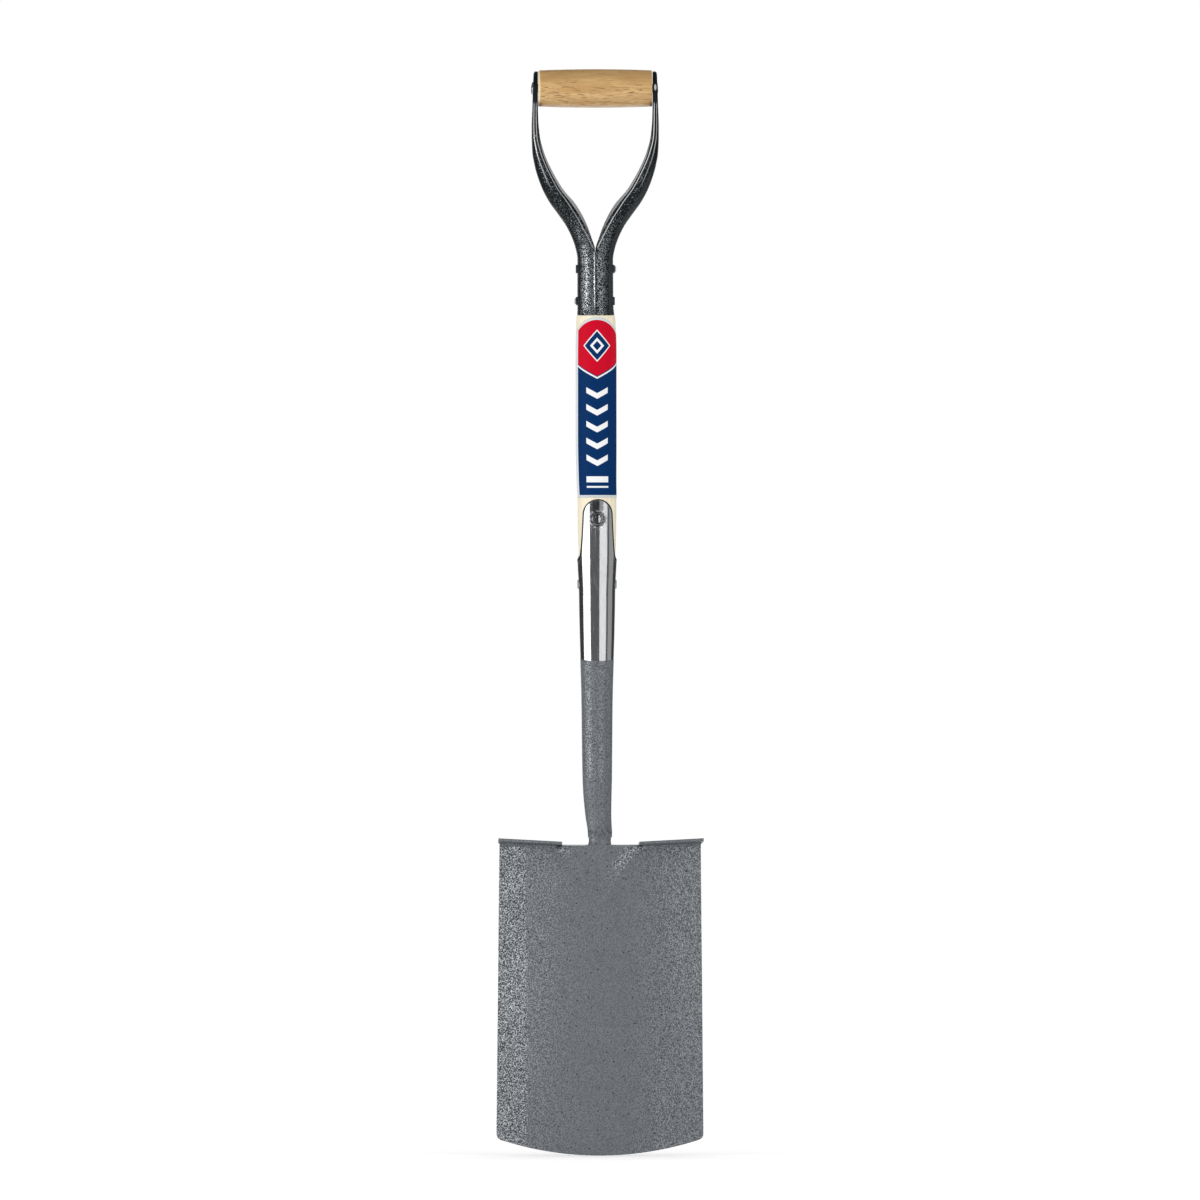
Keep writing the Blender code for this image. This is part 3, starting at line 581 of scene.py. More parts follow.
# this one spade isn't quite straight. Height, sideways drift:
driftStations = [
    (0, -0.1), (130, 0.6), (283, 1.5), (296, 1.9), (312, 0.7), (335, 0.1), (605, 0.0),
    (622, -0.45), (660, -0.8), (745, -0.85), (774, -1.1), (786, -1.5), (850, -1.6), (1010, -1.6),
]
handleTurn = math.radians(-3)  # the handle is fixed a little turned
handleFoot = 774.2
eyeLean = {"from": 950, "to": 998, "inner": 52.9, "thinner": 0.3}


def settled(spot):
    x, y, height = spot
    if height > eyeLean["from"] and abs(x) > eyeLean["inner"]:
        share = eyeLean["thinner"] * min((height - eyeLean["from"]) / (eyeLean["to"] - eyeLean["from"]), 1)
        x -= math.copysign((abs(x) - eyeLean["inner"]) * share, x)
    if height > handleFoot:
        cos, sin = math.cos(handleTurn), math.sin(handleTurn)
        x, y = x * cos - y * sin, x * sin + y * cos
    return (x + along(driftStations, height, 1), y, height)


def addObject(name, data):
    made = bpy.data.objects.new(name, data)
    bpy.context.scene.collection.objects.link(made)
    return made


def toObject(name, shape):
    for vert in shape.verts:
        vert.co = settled(vert.co)
    bmesh.ops.translate(shape, verts=shape.verts, vec=(0, 0, edgeLevel))
    bmesh.ops.scale(shape, verts=shape.verts, vec=(mm, mm, mm))
    mesh = bpy.data.meshes.new(name)
    shape.to_mesh(mesh)
    shape.free()
    return addObject(name, mesh)


def applyModifiers(piece):
    bpy.context.view_layer.update()
    graph = bpy.context.evaluated_depsgraph_get()
    solid = bpy.data.meshes.new_from_object(piece.evaluated_get(graph))
    piece.modifiers.clear()
    piece.data = solid


def softenEdges(piece, width):
    bevel = piece.modifiers.new("edges", "BEVEL")
    bevel.width = width * mm
    bevel.segments = 2
    bevel.profile = 0.5
    bevel.limit_method = "ANGLE"
    bevel.angle_limit = math.radians(50)


def uniteWith(piece, other):
    join = piece.modifiers.new("join", "BOOLEAN")
    join.operation = "UNION"
    join.solver = "EXACT"
    join.object = other
    applyModifiers(piece)
    bpy.data.objects.remove(other)


def finishPiece(piece, material, slotName, *stands, sharp=40):
    piece.data.materials.clear()
    piece.data.materials.append(material)
    piece.data.shade_smooth()
    piece.data.set_sharp_from_angle(angle=math.radians(sharp))
    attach(piece, "root")
    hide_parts(*stands)


alongX = Matrix.Rotation(math.pi / 2, 3, "Y")  # lays a turned shape along X, its top to +X
alongMinusX = Matrix.Rotation(-math.pi / 2, 3, "Y")
towardFront = Matrix.Rotation(math.pi / 2, 3, "X")  # its top to -Y


# blade and treads, bent up from one sheet
blade = {
    "top": 286.0,
    "topHalf": 92.8,
    "cornerHalf": 95.4,
    "edgeRise": 15.8,
    "cornerRadius": 4.0,
    "thickness": 3.0,
    "edgeThickness": 0.9,
    "grind": 9.0,
    "forward": 20.0,
    "lean": math.radians(6),
    "dishTop": 7.2,
    "dishBottom": 3.6,
    "fanHeight": 4.5,
    "fanFoot": 230.0,
    "fanInner": 23.0,
    "fanOuter": 37.0,
    "fanOuterLeft": 50.0,
    "treadStart": 35.6,
    "treadEnd": 94.6,
    "treadReach": 15.0,
    "treadBend": 3.6,
    "treadSlope": math.radians(3.2),
    "slit": 0.06,
    "rounding": 0.35,
}

# keel, neck and socket: height, half width, front, back
neckStations = [
    (188, 4.0, -30.4, -29.6),
    (205, 5.8, -28.6, -26.2),
    (230, 8.2, -26.0, -21.0),
    (258, 10.6, -23.2, -15.4),
    (276, 12.0, -24.0, -11.8),
    (284, 12.0, -25.4, -10.6),
    (286.5, 10.6, -25.7, -10.2),
    (290, 10.2, -25.6, -9.6),
    (292.2, 10.4, -25.4, -8.9),
    (293.4, 11.2, -25.5, -8.4),
    (300, 11.3, -24.4, -6.2),
    (309, 11.8, -22.8, -2.6),
    (318, 12.3, -21.2, 1.2),
    (330, 13.0, -18.8, 5.8),
    (345, 13.6, -16.4, 9.8),
    (364, 13.9, -14.8, 12.4),
    (382, 14.1, -14.3, 13.6),
    (419, 14.5, -14.5, 14.3),
    (456, 15.5, -15.5, 15.3),
    (484, 16.3, -16.2, 16.1),
    (508, 16.8, -16.8, 16.8),
    (519, 16.95, -16.95, 16.95),
    (530, 17.4, -17.4, 17.4),
    (541, 18.0, -18.0, 18.0),
    (556, 18.45, -18.45, 18.45),
    (612, 18.5, -18.5, 18.5),
]


def bladeMiddle(height):
    return -blade["forward"] - (blade["top"] - height) * math.tan(blade["lean"])


def dishAt(x, height):
    deeper = (blade["dishTop"] - blade["dishBottom"]) * easeStep(height, 0, 0.7 * blade["top"])
    depth = blade["dishBottom"] + deeper
    return -depth * (x / blade["topHalf"]) ** 2


def fanAt(x, height):  # raised fan spreading from the neck
    grown = min(max((height - blade["fanFoot"]) / (blade["top"] - blade["fanFoot"]), 0), 1)
    if grown == 0:
        return 0
    outer = blade["fanOuter"] if x > 0 else blade["fanOuterLeft"]
    beside = easeStep(abs(x), grown * blade["fanInner"], grown * outer)
    return -blade["fanHeight"] * grown**1.3 * (1 - beside)


def keelAt(x, height):  # the neck's root down the blade's back
    if height < 190:  # below the keel
        return 0
    wide = along(neckStations, height, 1)
    rise = along(neckStations, height, 3) - bladeMiddle(height) - blade["thickness"] / 2
    return max(rise, 0) * (1 - easeStep(abs(x), 0.18 * wide, 1.3 * wide))


def edgeAt(x):
    radius = (blade["cornerHalf"] ** 2 + blade["edgeRise"] ** 2) / (2 * blade["edgeRise"])
    return radius - math.sqrt(radius**2 - x**2)


def makeBlade():
    top, start = blade["top"], blade["treadStart"]
    rows = [0, 0.8, 1.8, 3, 4.4, 6.4, 9]
    rows += [9 + (230 - 9) * i / 84 for i in range(1, 85)]
    rows += [230 + (282 - 230) * i / 32 for i in range(1, 33)]
    lastShared = len(rows) - 1  # the middle and the treads part above this row
    rows += [283, 284, 285, 286]
    lastBlade = len(rows) - 1
    bends = [math.pi / 2 * i / 10 for i in range(1, 11)]
    reach = blade["treadReach"] - blade["treadBend"]
    runs = [reach * i / 6 for i in range(1, 6)] + [reach - 0.9, reach - 0.35, reach]
    outer = [blade["topHalf"] - (blade["topHalf"] - start) * i / 28 for i in range(28)]
    inner = [start - 2 * start * i / 50 for i in range(51)]
    across = [-x for x in outer] + [-x for x in inner] + [x for x in reversed(outer)]
    leftSplit, rightSplit = len(outer), len(outer) + 50
    columns, total = len(across) - 1, lastBlade + len(bends) + len(runs)

    # points are first numbered by their column, row and layer, cut and doubled, and then moved into place
    shape = drawnSheet(columns, total, lambda column, row: (column, row, 0))

    def centre(face):
        spot = face.calc_center_median()
        return spot.x, spot.y

    def isSlit(edge):
        (x0, y0, _), (x1, y1, _) = (v.co for v in edge.verts)
        return x0 == x1 and x0 in (leftSplit, rightSplit) and lastShared <= min(y0, y1) and max(y0, y1) <= lastBlade

    middle = [f for f in shape.faces if leftSplit < centre(f)[0] < rightSplit and centre(f)[1] > lastBlade]
    bmesh.ops.delete(shape, geom=middle, context="FACES")
    bmesh.ops.split_edges(shape, edges=[e for e in shape.edges if isSlit(e)])
    doubled(shape)

    ahead = Vector((0, -math.cos(blade["lean"]), math.sin(blade["lean"])))
    upward = Vector((0, math.sin(blade["lean"]), math.cos(blade["lean"])))

    def place(column, row, isFront, isTread):
        share = min(rows[min(row, lastBlade)], top) / top
        half = blade["cornerHalf"] + (blade["topHalf"] - blade["cornerHalf"]) * share
        low = rows[min(row, lastBlade)]
        if low < blade["cornerRadius"]:
            corner = blade["cornerRadius"]
            half -= corner - math.sqrt(corner**2 - (corner - low) ** 2)
        x = across[column] / blade["topHalf"] * half
        slope = max(0, abs(x) - start) * math.tan(blade["treadSlope"])
        bottom = edgeAt(x)
        height = bottom + (top + slope - bottom) * share
        bendStart = top + slope - blade["treadBend"]
        if isTread and row > lastShared:
            joint = bottom + (top + slope - bottom) * rows[lastShared] / top
            height = joint + (bendStart - joint) * min((row - lastShared) / (lastBlade - lastShared), 1)
        elif not isTread and row > lastShared and abs(across[column]) == start:
            x -= math.copysign(blade["slit"], x)
        grind = min((height - bottom) / blade["grind"], 1)
        halfThick = (blade["edgeThickness"] + (blade["thickness"] - blade["edgeThickness"]) * grind) / 2
        spot = Vector((x, bladeMiddle(height) + dishAt(x, height), height))
        if row <= lastBlade:
            spot.y += fanAt(x, height) - halfThick if isFront else halfThick + keelAt(x, height)
            return spot
        step = row - lastBlade
        turn = bends[min(step, len(bends)) - 1]
        wider = (blade["treadEnd"] - start) / (blade["topHalf"] - start)
        spread = 1 + (wider - 1) * easeStep(step, 0, len(bends))
        spot.x = math.copysign(start + (abs(x) - start) * spread, x)
        bend = blade["treadBend"]
        spot += upward * bend * math.sin(turn) + ahead * bend * (1 - math.cos(turn))
        facing = ahead * math.cos(turn) - upward * math.sin(turn)
        if step > len(bends):
            run = runs[step - len(bends) - 1]
            spot += ahead * run
            halfThick *= 1 - 0.45 * easeStep(run, reach - 1.1, reach)
        return spot + facing * (halfThick if isFront else -halfThick)

    front = shape.verts.layers.float.new("front")
    for vert in shape.verts:
        column, row = round(vert.co.x), round(vert.co.y)
        vert[front] = vert.co.z > 0.5
        beyond = [centre(f)[0] for f in vert.link_faces]
        vert.tag = max(beyond) > rightSplit + 0.1 or min(beyond) < leftSplit - 0.1
    spots = [place(round(v.co.x), round(v.co.y), v.co.z > 0.5, v.tag) for v in shape.verts]
    for vert, spot in zip(shape.verts, spots):
        vert.co = spot
    bmesh.ops.recalc_face_normals(shape, faces=shape.faces)
    if shape.calc_volume(signed=True) < 0:  # a thin folded sheet can come out inside out
        bmesh.ops.reverse_faces(shape, faces=shape.faces)
    piece = toObject("treadedBlade", shape)
    softenEdges(piece, blade["rounding"])
    finishPiece(piece, forgedFinish, "hammered_grey_paint", "head")


makeBlade()
print("blade made")


# neck, socket and straps
socket = {
    "foot": 277.0,
    "plain": 512.0,  # rings are level up to here, and follow the strap outline above
    "strapTop": 604.8,
    "strapHalf": 14.4,
    "crotch": 549.5,
    "rimRound": 1.0,
    "quarter": 44,  # columns in a quarter turn
    "tube": 18.5,  # radius of the straps' outside
}

# hollow of the socket: height, radius
boreStations = [
    (398, 9.8), (419, 10.8), (456, 12.3), (484, 13.1), (511, 13.9),
    (530, 14.4), (545, 15.7), (556, 16.1), (612, 16.1),
]


def strapOutline():  # a quarter of it: distance round the tube, height
    half, top, crotch, tube = socket["strapHalf"], socket["strapTop"], socket["crotch"], socket["tube"]
    turns = [math.pi / 2 * i / 24 for i in range(25)]
    points = [(half * math.sin(a), top - half * (1 - math.cos(a))) for a in turns]
    for wider, rise in ((0.45, 30), (1.0, 20), (1.7, 9), (2.4, 3.6), (3.0, 1.4), (3.7, 0.4)):
        points.append((half + wider, crotch + rise))
    bent = [(tube * math.asin(min(x / tube, 1)), z) for x, z in points]
    return bent + [(tube * math.pi / 2, crotch)]


def evenly(points, count):  # the same line with evenly spaced points
    lengths = lengthsAlong(points)
    spaced = []
    k = 0
    for i in range(count + 1):
        target = lengths[-1] * i / count
        while k < len(lengths) - 2 and lengths[k + 1] < target:
            k += 1
        t = (target - lengths[k]) / (lengths[k + 1] - lengths[k])
        spaced.append(tuple(a + (b - a) * t for a, b in zip(points[k], points[k + 1])))
    return spaced


def distanceTo(points, spot):
    best = 1e9
    for a, b in zip(points, points[1:]):
        ax, ay, bx, by = *a, *b
        dx, dy = bx - ax, by - ay
        t = min(max(((spot[0] - ax) * dx + (spot[1] - ay) * dy) / (dx * dx + dy * dy), 0), 1)
        best = min(best, math.hypot(spot[0] - ax - dx * t, spot[1] - ay - dy * t))
    return best


def makeSocket():
    quarter, tube = socket["quarter"], socket["tube"]
    outline = evenly(strapOutline(), quarter)
    edge = evenly(strapOutline(), 90)
    plain = socket["plain"]
    heights = [socket["foot"] + i * 1.5 for i in range(6)] + [286 + i for i in range(16)]
    heights += [302 + (plain - 302) * i / 70 for i in range(1, 71)]
    climbs = [i / 40 for i in range(1, 35)]
    climbs += [0.87, 0.89, 0.91, 0.93, 0.945, 0.96, 0.972, 0.982, 0.99, 0.996, 1.0]
    insides = [1.0, 0.9, 0.7, 0.45, 0.2, 0.0]
    deeps = [500, 470, 430, 398]
    rows = [("pole", socket["foot"])] + [("ring", h) for h in heights] + [("climb", t) for t in climbs]
    rows += [("inside", t) for t in insides] + [("bore", h) for h in deeps] + [("pole", 398)]

    def place(column, row):
        turn, q = divmod(column, quarter)
        q = q if turn % 2 == 0 else quarter - q
        around, crest = outline[q]
        kind, value = rows[row]
        height, blend = value, 0
        if kind in ("climb", "inside"):
            height = plain + (crest - plain) * value
            blend = easeStep(height, plain, plain + 26)
        angle = (math.pi / 2 * q / quarter) * (1 - blend) + around / tube * blend
        whole = (turn // 2) * math.pi + (angle if turn % 2 == 0 else math.pi - angle)
        if kind == "pole":
            mid = (along(neckStations, height, 2) + along(neckStations, height, 3)) / 2
            return (0, mid if height < 300 else 0, height)
        if kind in ("inside", "bore"):
            radius = along(boreStations, height, 1)
            return (radius * math.sin(whole), -radius * math.cos(whole), height)
        half, front, back = (along(neckStations, height, k) for k in (1, 2, 3))
        drop = 0
        if kind == "climb":
            rim = socket["rimRound"]
            gone = distanceTo(edge, (angle * tube, height))
            if gone < rim:
                drop = rim - math.sqrt(rim**2 - (rim - gone) ** 2)
        x = (half - drop) * math.sin(whole)
        y = (front + back) / 2 - ((back - front) / 2 - drop) * math.cos(whole)
        if kind == "climb":  # beaten in a little round the strap rivet
            y *= 1 - 0.012 * math.exp(-(x**2 + (height - 590) ** 2) / 7.5**2)
        return (x, y, height)

    shape = drawnSheet(4 * quarter, len(rows) - 1, place, welded=True)
    # painted shade along the straps' edges, in a band that widens toward the tube's sides
    rim = shape.verts.layers.float.new("rim")
    for vert in shape.verts:
        x, y, height = vert.co
        if height > 545 and math.hypot(x, y) > 16.6:  # the straps' outside
            gone = distanceTo(edge, (math.atan2(abs(x), abs(y)) * tube, height))
            vert[rim] = 1 - min(gone / (2.0 + 2.6 * (x / 14.4) ** 2), 1)
    piece = toObject("strappedSocket", shape)
    finishPiece(piece, forgedFinish, "hammered_grey_paint", "head", sharp=50)


makeSocket()
print("socket made")


shaftTurning = {"top": 832.0, "tenon": 14.0, "shoulder": 774.0, "under": 17.8}

# the shaft above the straps: height, radius
shaftStations = [(604.8, 17.95), (622, 18.3), (660, 18.75), (740, 18.75), (762, 18.3), (774.3, 17.8)]


def shaftRadius(height):
    return along(shaftStations, height, 1)


def makeShaft():
    look = shaftTurning
    profile = [(0, look["top"]), (look["tenon"] - 1, look["top"]), (look["tenon"], look["top"] - 1)]
    profile += [(look["tenon"], look["shoulder"]), (look["under"] - 0.9, look["shoulder"])]
    profile += [(look["under"] - 0.3, look["shoulder"] - 0.3), (look["under"], look["shoulder"] - 1)]
    profile += [(shaftRadius(h), h) for h in range(768, 606, -6)]
    profile += [(17.95, 606), (17.88, 595), (17.78, 585), (17.7, 575), (17.5, 567), (17.3, 560), (16.7, 552)]
    profile += [(along(boreStations, h, 1) - 0.3, h) for h in (545, 530, 511, 484, 456, 419, 398.3)]
    profile += [(0, 398.3)]
    piece = toObject("ashShaft", turnedShape(profile, 96))
    finishPiece(piece, ashFinish, "ash", "shaft")


makeShaft()
print("shaft made")


# the handle's arms: height, outer edge, front lip, rear lip, half depth, squareness
armStations = [
    (774.3, 17.2, 0.0, 0.0, 17.2, 2.0),
    (782, 16.7, 0.0, 0.0, 16.6, 2.0),
    (800, 16.6, 0.0, 0.0, 16.5, 2.0),
    (826, 16.5, 0.0, 0.0, 16.2, 2.0),
    (835, 18.0, 0.3, 0.15, 16.2, 2.0),
    (845, 21.3, 3.9, 3.1, 16.1, 2.1),
    (856, 26.6, 9.2, 7.0, 15.7, 2.05),
    (867, 34.1, 15.2, 12.1, 15.1, 2.1),
    (878, 42.05, 22.7, 18.9, 14.5, 2.15),
    (889.5, 48.35, 31.8, 28.8, 13.8, 2.2),
    (901, 52.85, 38.5, 36.1, 13.1, 2.25),
    (912, 55.95, 43.9, 41.9, 12.6, 2.3),
    (925, 58.15, 48.9, 47.4, 12.2, 2.4),
    (940, 58.75, 52.2, 51.2, 12.0, 2.5),
    (956, 58.75, 52.8, 52.6, 12.0, 2.6),
    (974.5, 58.7, 53.1, 53.0, 12.0, 2.6),
]

# two pressed lines along the front flange: height, distance from the lip
ridgeStations = [
    (826, 0.6), (840, 2.2), (850, 2.8), (862, 3.1), (871, 3.3), (880, 2.7), (890, 2.1), (908, 1.8), (974.5, 1.6),
]
creaseStations = [(885, 8.5), (899, 7.5), (908, 6.6), (917, 6.0), (936, 4.8), (974.5, 4.5)]

handle = {
    "steel": 1.9,
    "gripHeight": 983.4,
    "gripHalf": 52.6,
    "gripEnd": 16.8,
    "gripMiddle": 17.85,
    "eyeFace": 58.7,
    "eyeRadius": 15.8,
    "eyeRound": 2.6,
    "ridge": 0.6,
    "ridgeWidth": 0.6,
    "lineWidth": 0.34,
    "seam": 0.6,
    "rearFlare": 1.5,
    "lipColumns": 28,
    "lipWidth": 9.0,
}

# what differs between the left and the right arm's flange
flanges = {
    -1: {"seam": 1.0, "crease": 0.5, "line": 0.5, "creaseShine": 0.9, "calm": (0.8, 0.95), "spread": 0.6},
    1: {"seam": 0.35, "crease": 0.36, "line": 0.95, "creaseShine": 0.75, "calm": (0.55, 0.8), "spread": 0.7},
}


# outside and inside of the channel from the front lip to the rear one, and for each outside point
# how much painted highlight it takes on a crest, how much painted reflection it takes inside, and how rough its
# hammering is
def armSection(height, side):
    outer, frontLip, rearLip, halfDepth, square = (along(armStations, height, k) for k in range(1, 6))
    fine = []
    for i in range(241):
        angle = math.pi * (i / 240 - 0.5)
        lip = frontLip if angle < 0 else rearLip
        reachX = lip + (outer - lip) * abs(math.cos(angle)) ** (2 / square)
        fine.append((reachX, math.copysign(halfDepth * abs(math.sin(angle)) ** (2 / square), angle)))
    lengths = lengthsAlong(fine)
    whole = lengths[-1]
    lipWidth, lipColumns, middleColumns = min(handle["lipWidth"], whole * 0.25), handle["lipColumns"], 32
    marks = [lipWidth * i / lipColumns for i in range(lipColumns)]
    marks += [lipWidth + (whole - 2 * lipWidth) * i / middleColumns for i in range(middleColumns)]
    marks += [whole - lipWidth * (lipColumns - i) / lipColumns for i in range(lipColumns + 1)]
    apart = easeStep(height, 828, 850)  # the halves part above the sleeve
    flange = flanges[side]

    def at(mark):
        k = max(i for i in range(len(lengths) - 1) if lengths[i] <= max(mark, 0))
        t = (mark - lengths[k]) / max(lengths[k + 1] - lengths[k], 1e-9)
        return [a + (b - a) * t for a, b in zip(fine[k], fine[k + 1])]

    outside, inside, crests, lipReflections, specks = [], [], [], [], []
    for mark in marks:
        x, y = at(mark)
        before, after = at(max(mark - 0.4, 0)), at(min(mark + 0.4, whole))
        run = math.dist(before, after)
        inward = (-(after[1] - before[1]) / run, (after[0] - before[0]) / run)
        flare = handle["rearFlare"] * bell(whole - mark, 2.4) * apart
        steel = handle["steel"]
        inside.append((side * (x + inward[0] * steel), y + inward[1] * steel + flare, height))
        ahead = crest = 0.0
        if mark < lipWidth * 1.3:
            # the sleeve's seam stands proud, and the ridge runs up the arm and ends under the eye
            waver = 0.4 * noise.noise(Vector((3.1, 0, height * 0.3)))
            seam = (handle["seam"] + waver) * flange["seam"] * bell(mark - 0.55, 0.5) * (1 - apart)
            fromRidge = mark - along(ridgeStations, height, 1)
            underEye = 1 - easeStep(height, 968, 971)
            ridge = handle["ridge"] * bell(fromRidge, handle["ridgeWidth"]) * underEye
            curl = 0.7 * bell(mark, 0.7)
            dent = 1.1 * bell(mark, 1.2) * (1 - easeStep(height, 776, 783))
            ahead = seam * easeStep(height, 776, 784) - dent + (ridge - curl) * apart
            # painted highlight along the pressed line, the crease and the left arm's seam
            line = bell(fromRidge, handle["lineWidth"]) * easeStep(height, 834.5, 838)
            crease = bell(mark - along(creaseStations, height, 1), flange["crease"])
            crease *= 0.55 * easeStep(height, 886, 905) + 0.45 * easeStep(height, 915, 930)
            crest = max(line * flange["line"], crease * flange["creaseShine"]) * underEye
            if side < 0:
                foot = easeStep(height, 779, 785) * (1 - easeStep(height, 829, 833))
                crest += 0.55 * bell(mark - 0.5 - waver, 0.38) * foot
        outside.append((side * x, y - ahead + flare, height))
        crests.append(crest)
        # painted reflection inside the rear lip, between the crotch and the upper arm
        band = easeStep(height, 838, 850) * (1 - easeStep(height, 915, 945))
        lipReflections.append(band * easeStep(mark, whole - 5.0, whole - 3.0))
        # the outer edge is smoother, most of all on the right
        reach = (x - frontLip) / (outer - frontLip)
        calm = easeStep(reach, *flanges[-1 if y > 0 else side]["calm"])
        spread = 1 - flange["spread"] * easeStep(height, 836, 872)
        notch = bell(mark, 2.4) * bell(height - 833, 4.5)
        if side > 0:
            notch = max(notch, 0.9 * bell(mark, 1.4) * (1 - apart))
        specks.append((1 - 0.95 * calm) * spread * (1 - notch) - 0.6 * easeStep(height, 905, 945))
    return outside, inside, crests, lipReflections, specks


def makeArm(side, name):
    heights = [774.3, 774.9, 776, 778, 780] + [782 + (826 - 782) * i / 20 for i in range(21)]
    heights += [826 + (974.5 - 826) * i / 92 for i in range(1, 93)]
    sections = [armSection(h, side) for h in heights]
    columns, rows = len(sections[0][0]) - 1, len(sections) - 1
    shape = drawnSheet(columns, rows, lambda column, row: (column, row, 0))
    doubled(shape)
    for layer in ("crest", "paleAndReflected", "speck"):
        shape.verts.layers.float.new(layer)
    crest, paleAndReflected, speck = (shape.verts.layers.float[layer] for layer in ("crest", "paleAndReflected", "speck"))
    for vert in shape.verts:
        column, row, isInside = round(vert.co.x), round(vert.co.y), vert.co.z > 0.5
        vert.co = sections[row][isInside][column]
        vert[crest] = 0 if isInside else sections[row][2][column]
        vert[paleAndReflected] = sections[row][3][column] if isInside else 0
        vert[speck] = 0.3 if isInside else sections[row][4][column]
    bmesh.ops.recalc_face_normals(shape, faces=shape.faces)
    arm = toObject(name, shape)
    face, radius, steel = handle["eyeFace"], handle["eyeRadius"], handle["steel"]
    rim = handle["gripHalf"] + 0.3
    profile = [(0, face), (radius * 0.4, face)] + quarterRound(radius, face, handle["eyeRound"], 8)
    profile += [(radius, rim + 0.35), (radius - 0.35, rim), (radius - steel, rim)]
    profile += [(radius - steel, face - steel - 1.2), (radius - steel - 1.2, face - steel), (0, face - steel)]
    eye = placeShape(turnedShape(profile, 72), alongX if side > 0 else alongMinusX, handle["gripHeight"])
    uniteWith(arm, toObject(name + "Eye", eye))
    middle = settled((side * (face + rim) / 2, 0, handle["gripHeight"]))
    for vert in arm.data.vertices:  # the round eye is smooth
        across, up = vert.co.y / mm - middle[1], vert.co.z / mm - middle[2] - edgeLevel
        if math.hypot(across, up) < radius + 0.2:
            for layer, value in (("crest", 0), ("paleAndReflected", 0), ("speck", -1)):
                arm.data.attributes[layer].data[vert.index].value = value
    node = "handle_arm_left" if side < 0 else "handle_arm_right"
    finishPiece(arm, blackFinish, "hammered_black_paint", node, sharp=45)


makeArm(-1, "leftHandleArm")
makeArm(1, "rightHandleArm")
print("handle arms made")


def makeGrip():
    half, end, middle = handle["gripHalf"], handle["gripEnd"], handle["gripMiddle"]
    profile = [(4.3, half), (end - 1.0, half), (end - 0.7, half - 0.08), (end - 0.3, half - 0.4)]
    for i in range(49):
        share = 1 - i / 24
        profile.append((middle - (middle - end) * share**2, share * (half - 1.0)))
    profile += [(end - 0.3, 0.4 - half), (end - 0.7, 0.08 - half), (end - 1.0, -half), (4.3, -half), (4.3, half)]
    piece = toObject("turnedGrip", placeShape(turnedShape(profile, 96), alongX, handle["gripHeight"]))
    finishPiece(piece, hardwoodFinish, "varnished_hardwood", "grip")


makeGrip()
print("grip made")


def domed(radius, base, rise, points=8):  # from the middle out to the rim
    turns = [math.pi / 2 * i / points for i in range(points + 1)]
    return [(radius * math.sin(a), base + rise * math.cos(a)) for a in turns]


def saddle(shape, tube, way):  # draws the ends of a cross rivet down onto a tube
    for vert in shape.verts:
        if abs(vert.co.z) > tube / 2:
            vert.co.z -= math.copysign(tube - math.sqrt(tube**2 - vert.co[way] ** 2), vert.co.z)
    return shape


def hammerFlat(shape, limit, dent, seed):  # uneven blows on a closed end
    for vert in shape.verts:
        if abs(vert.co.z) > limit:
            spot = Vector((vert.co.x * 0.33, vert.co.y * 0.33, seed))
            vert.co.z += math.copysign(dent * noise.noise(spot), vert.co.z)
            away = math.hypot(vert.co.x, vert.co.y)
            if away > 2:
                grow = 1 + 0.07 * noise.noise(Vector((vert.co.x / away * 1.3, vert.co.y / away * 1.3, seed + 9)))
                vert.co.x *= grow
                vert.co.y *= grow
    return shape


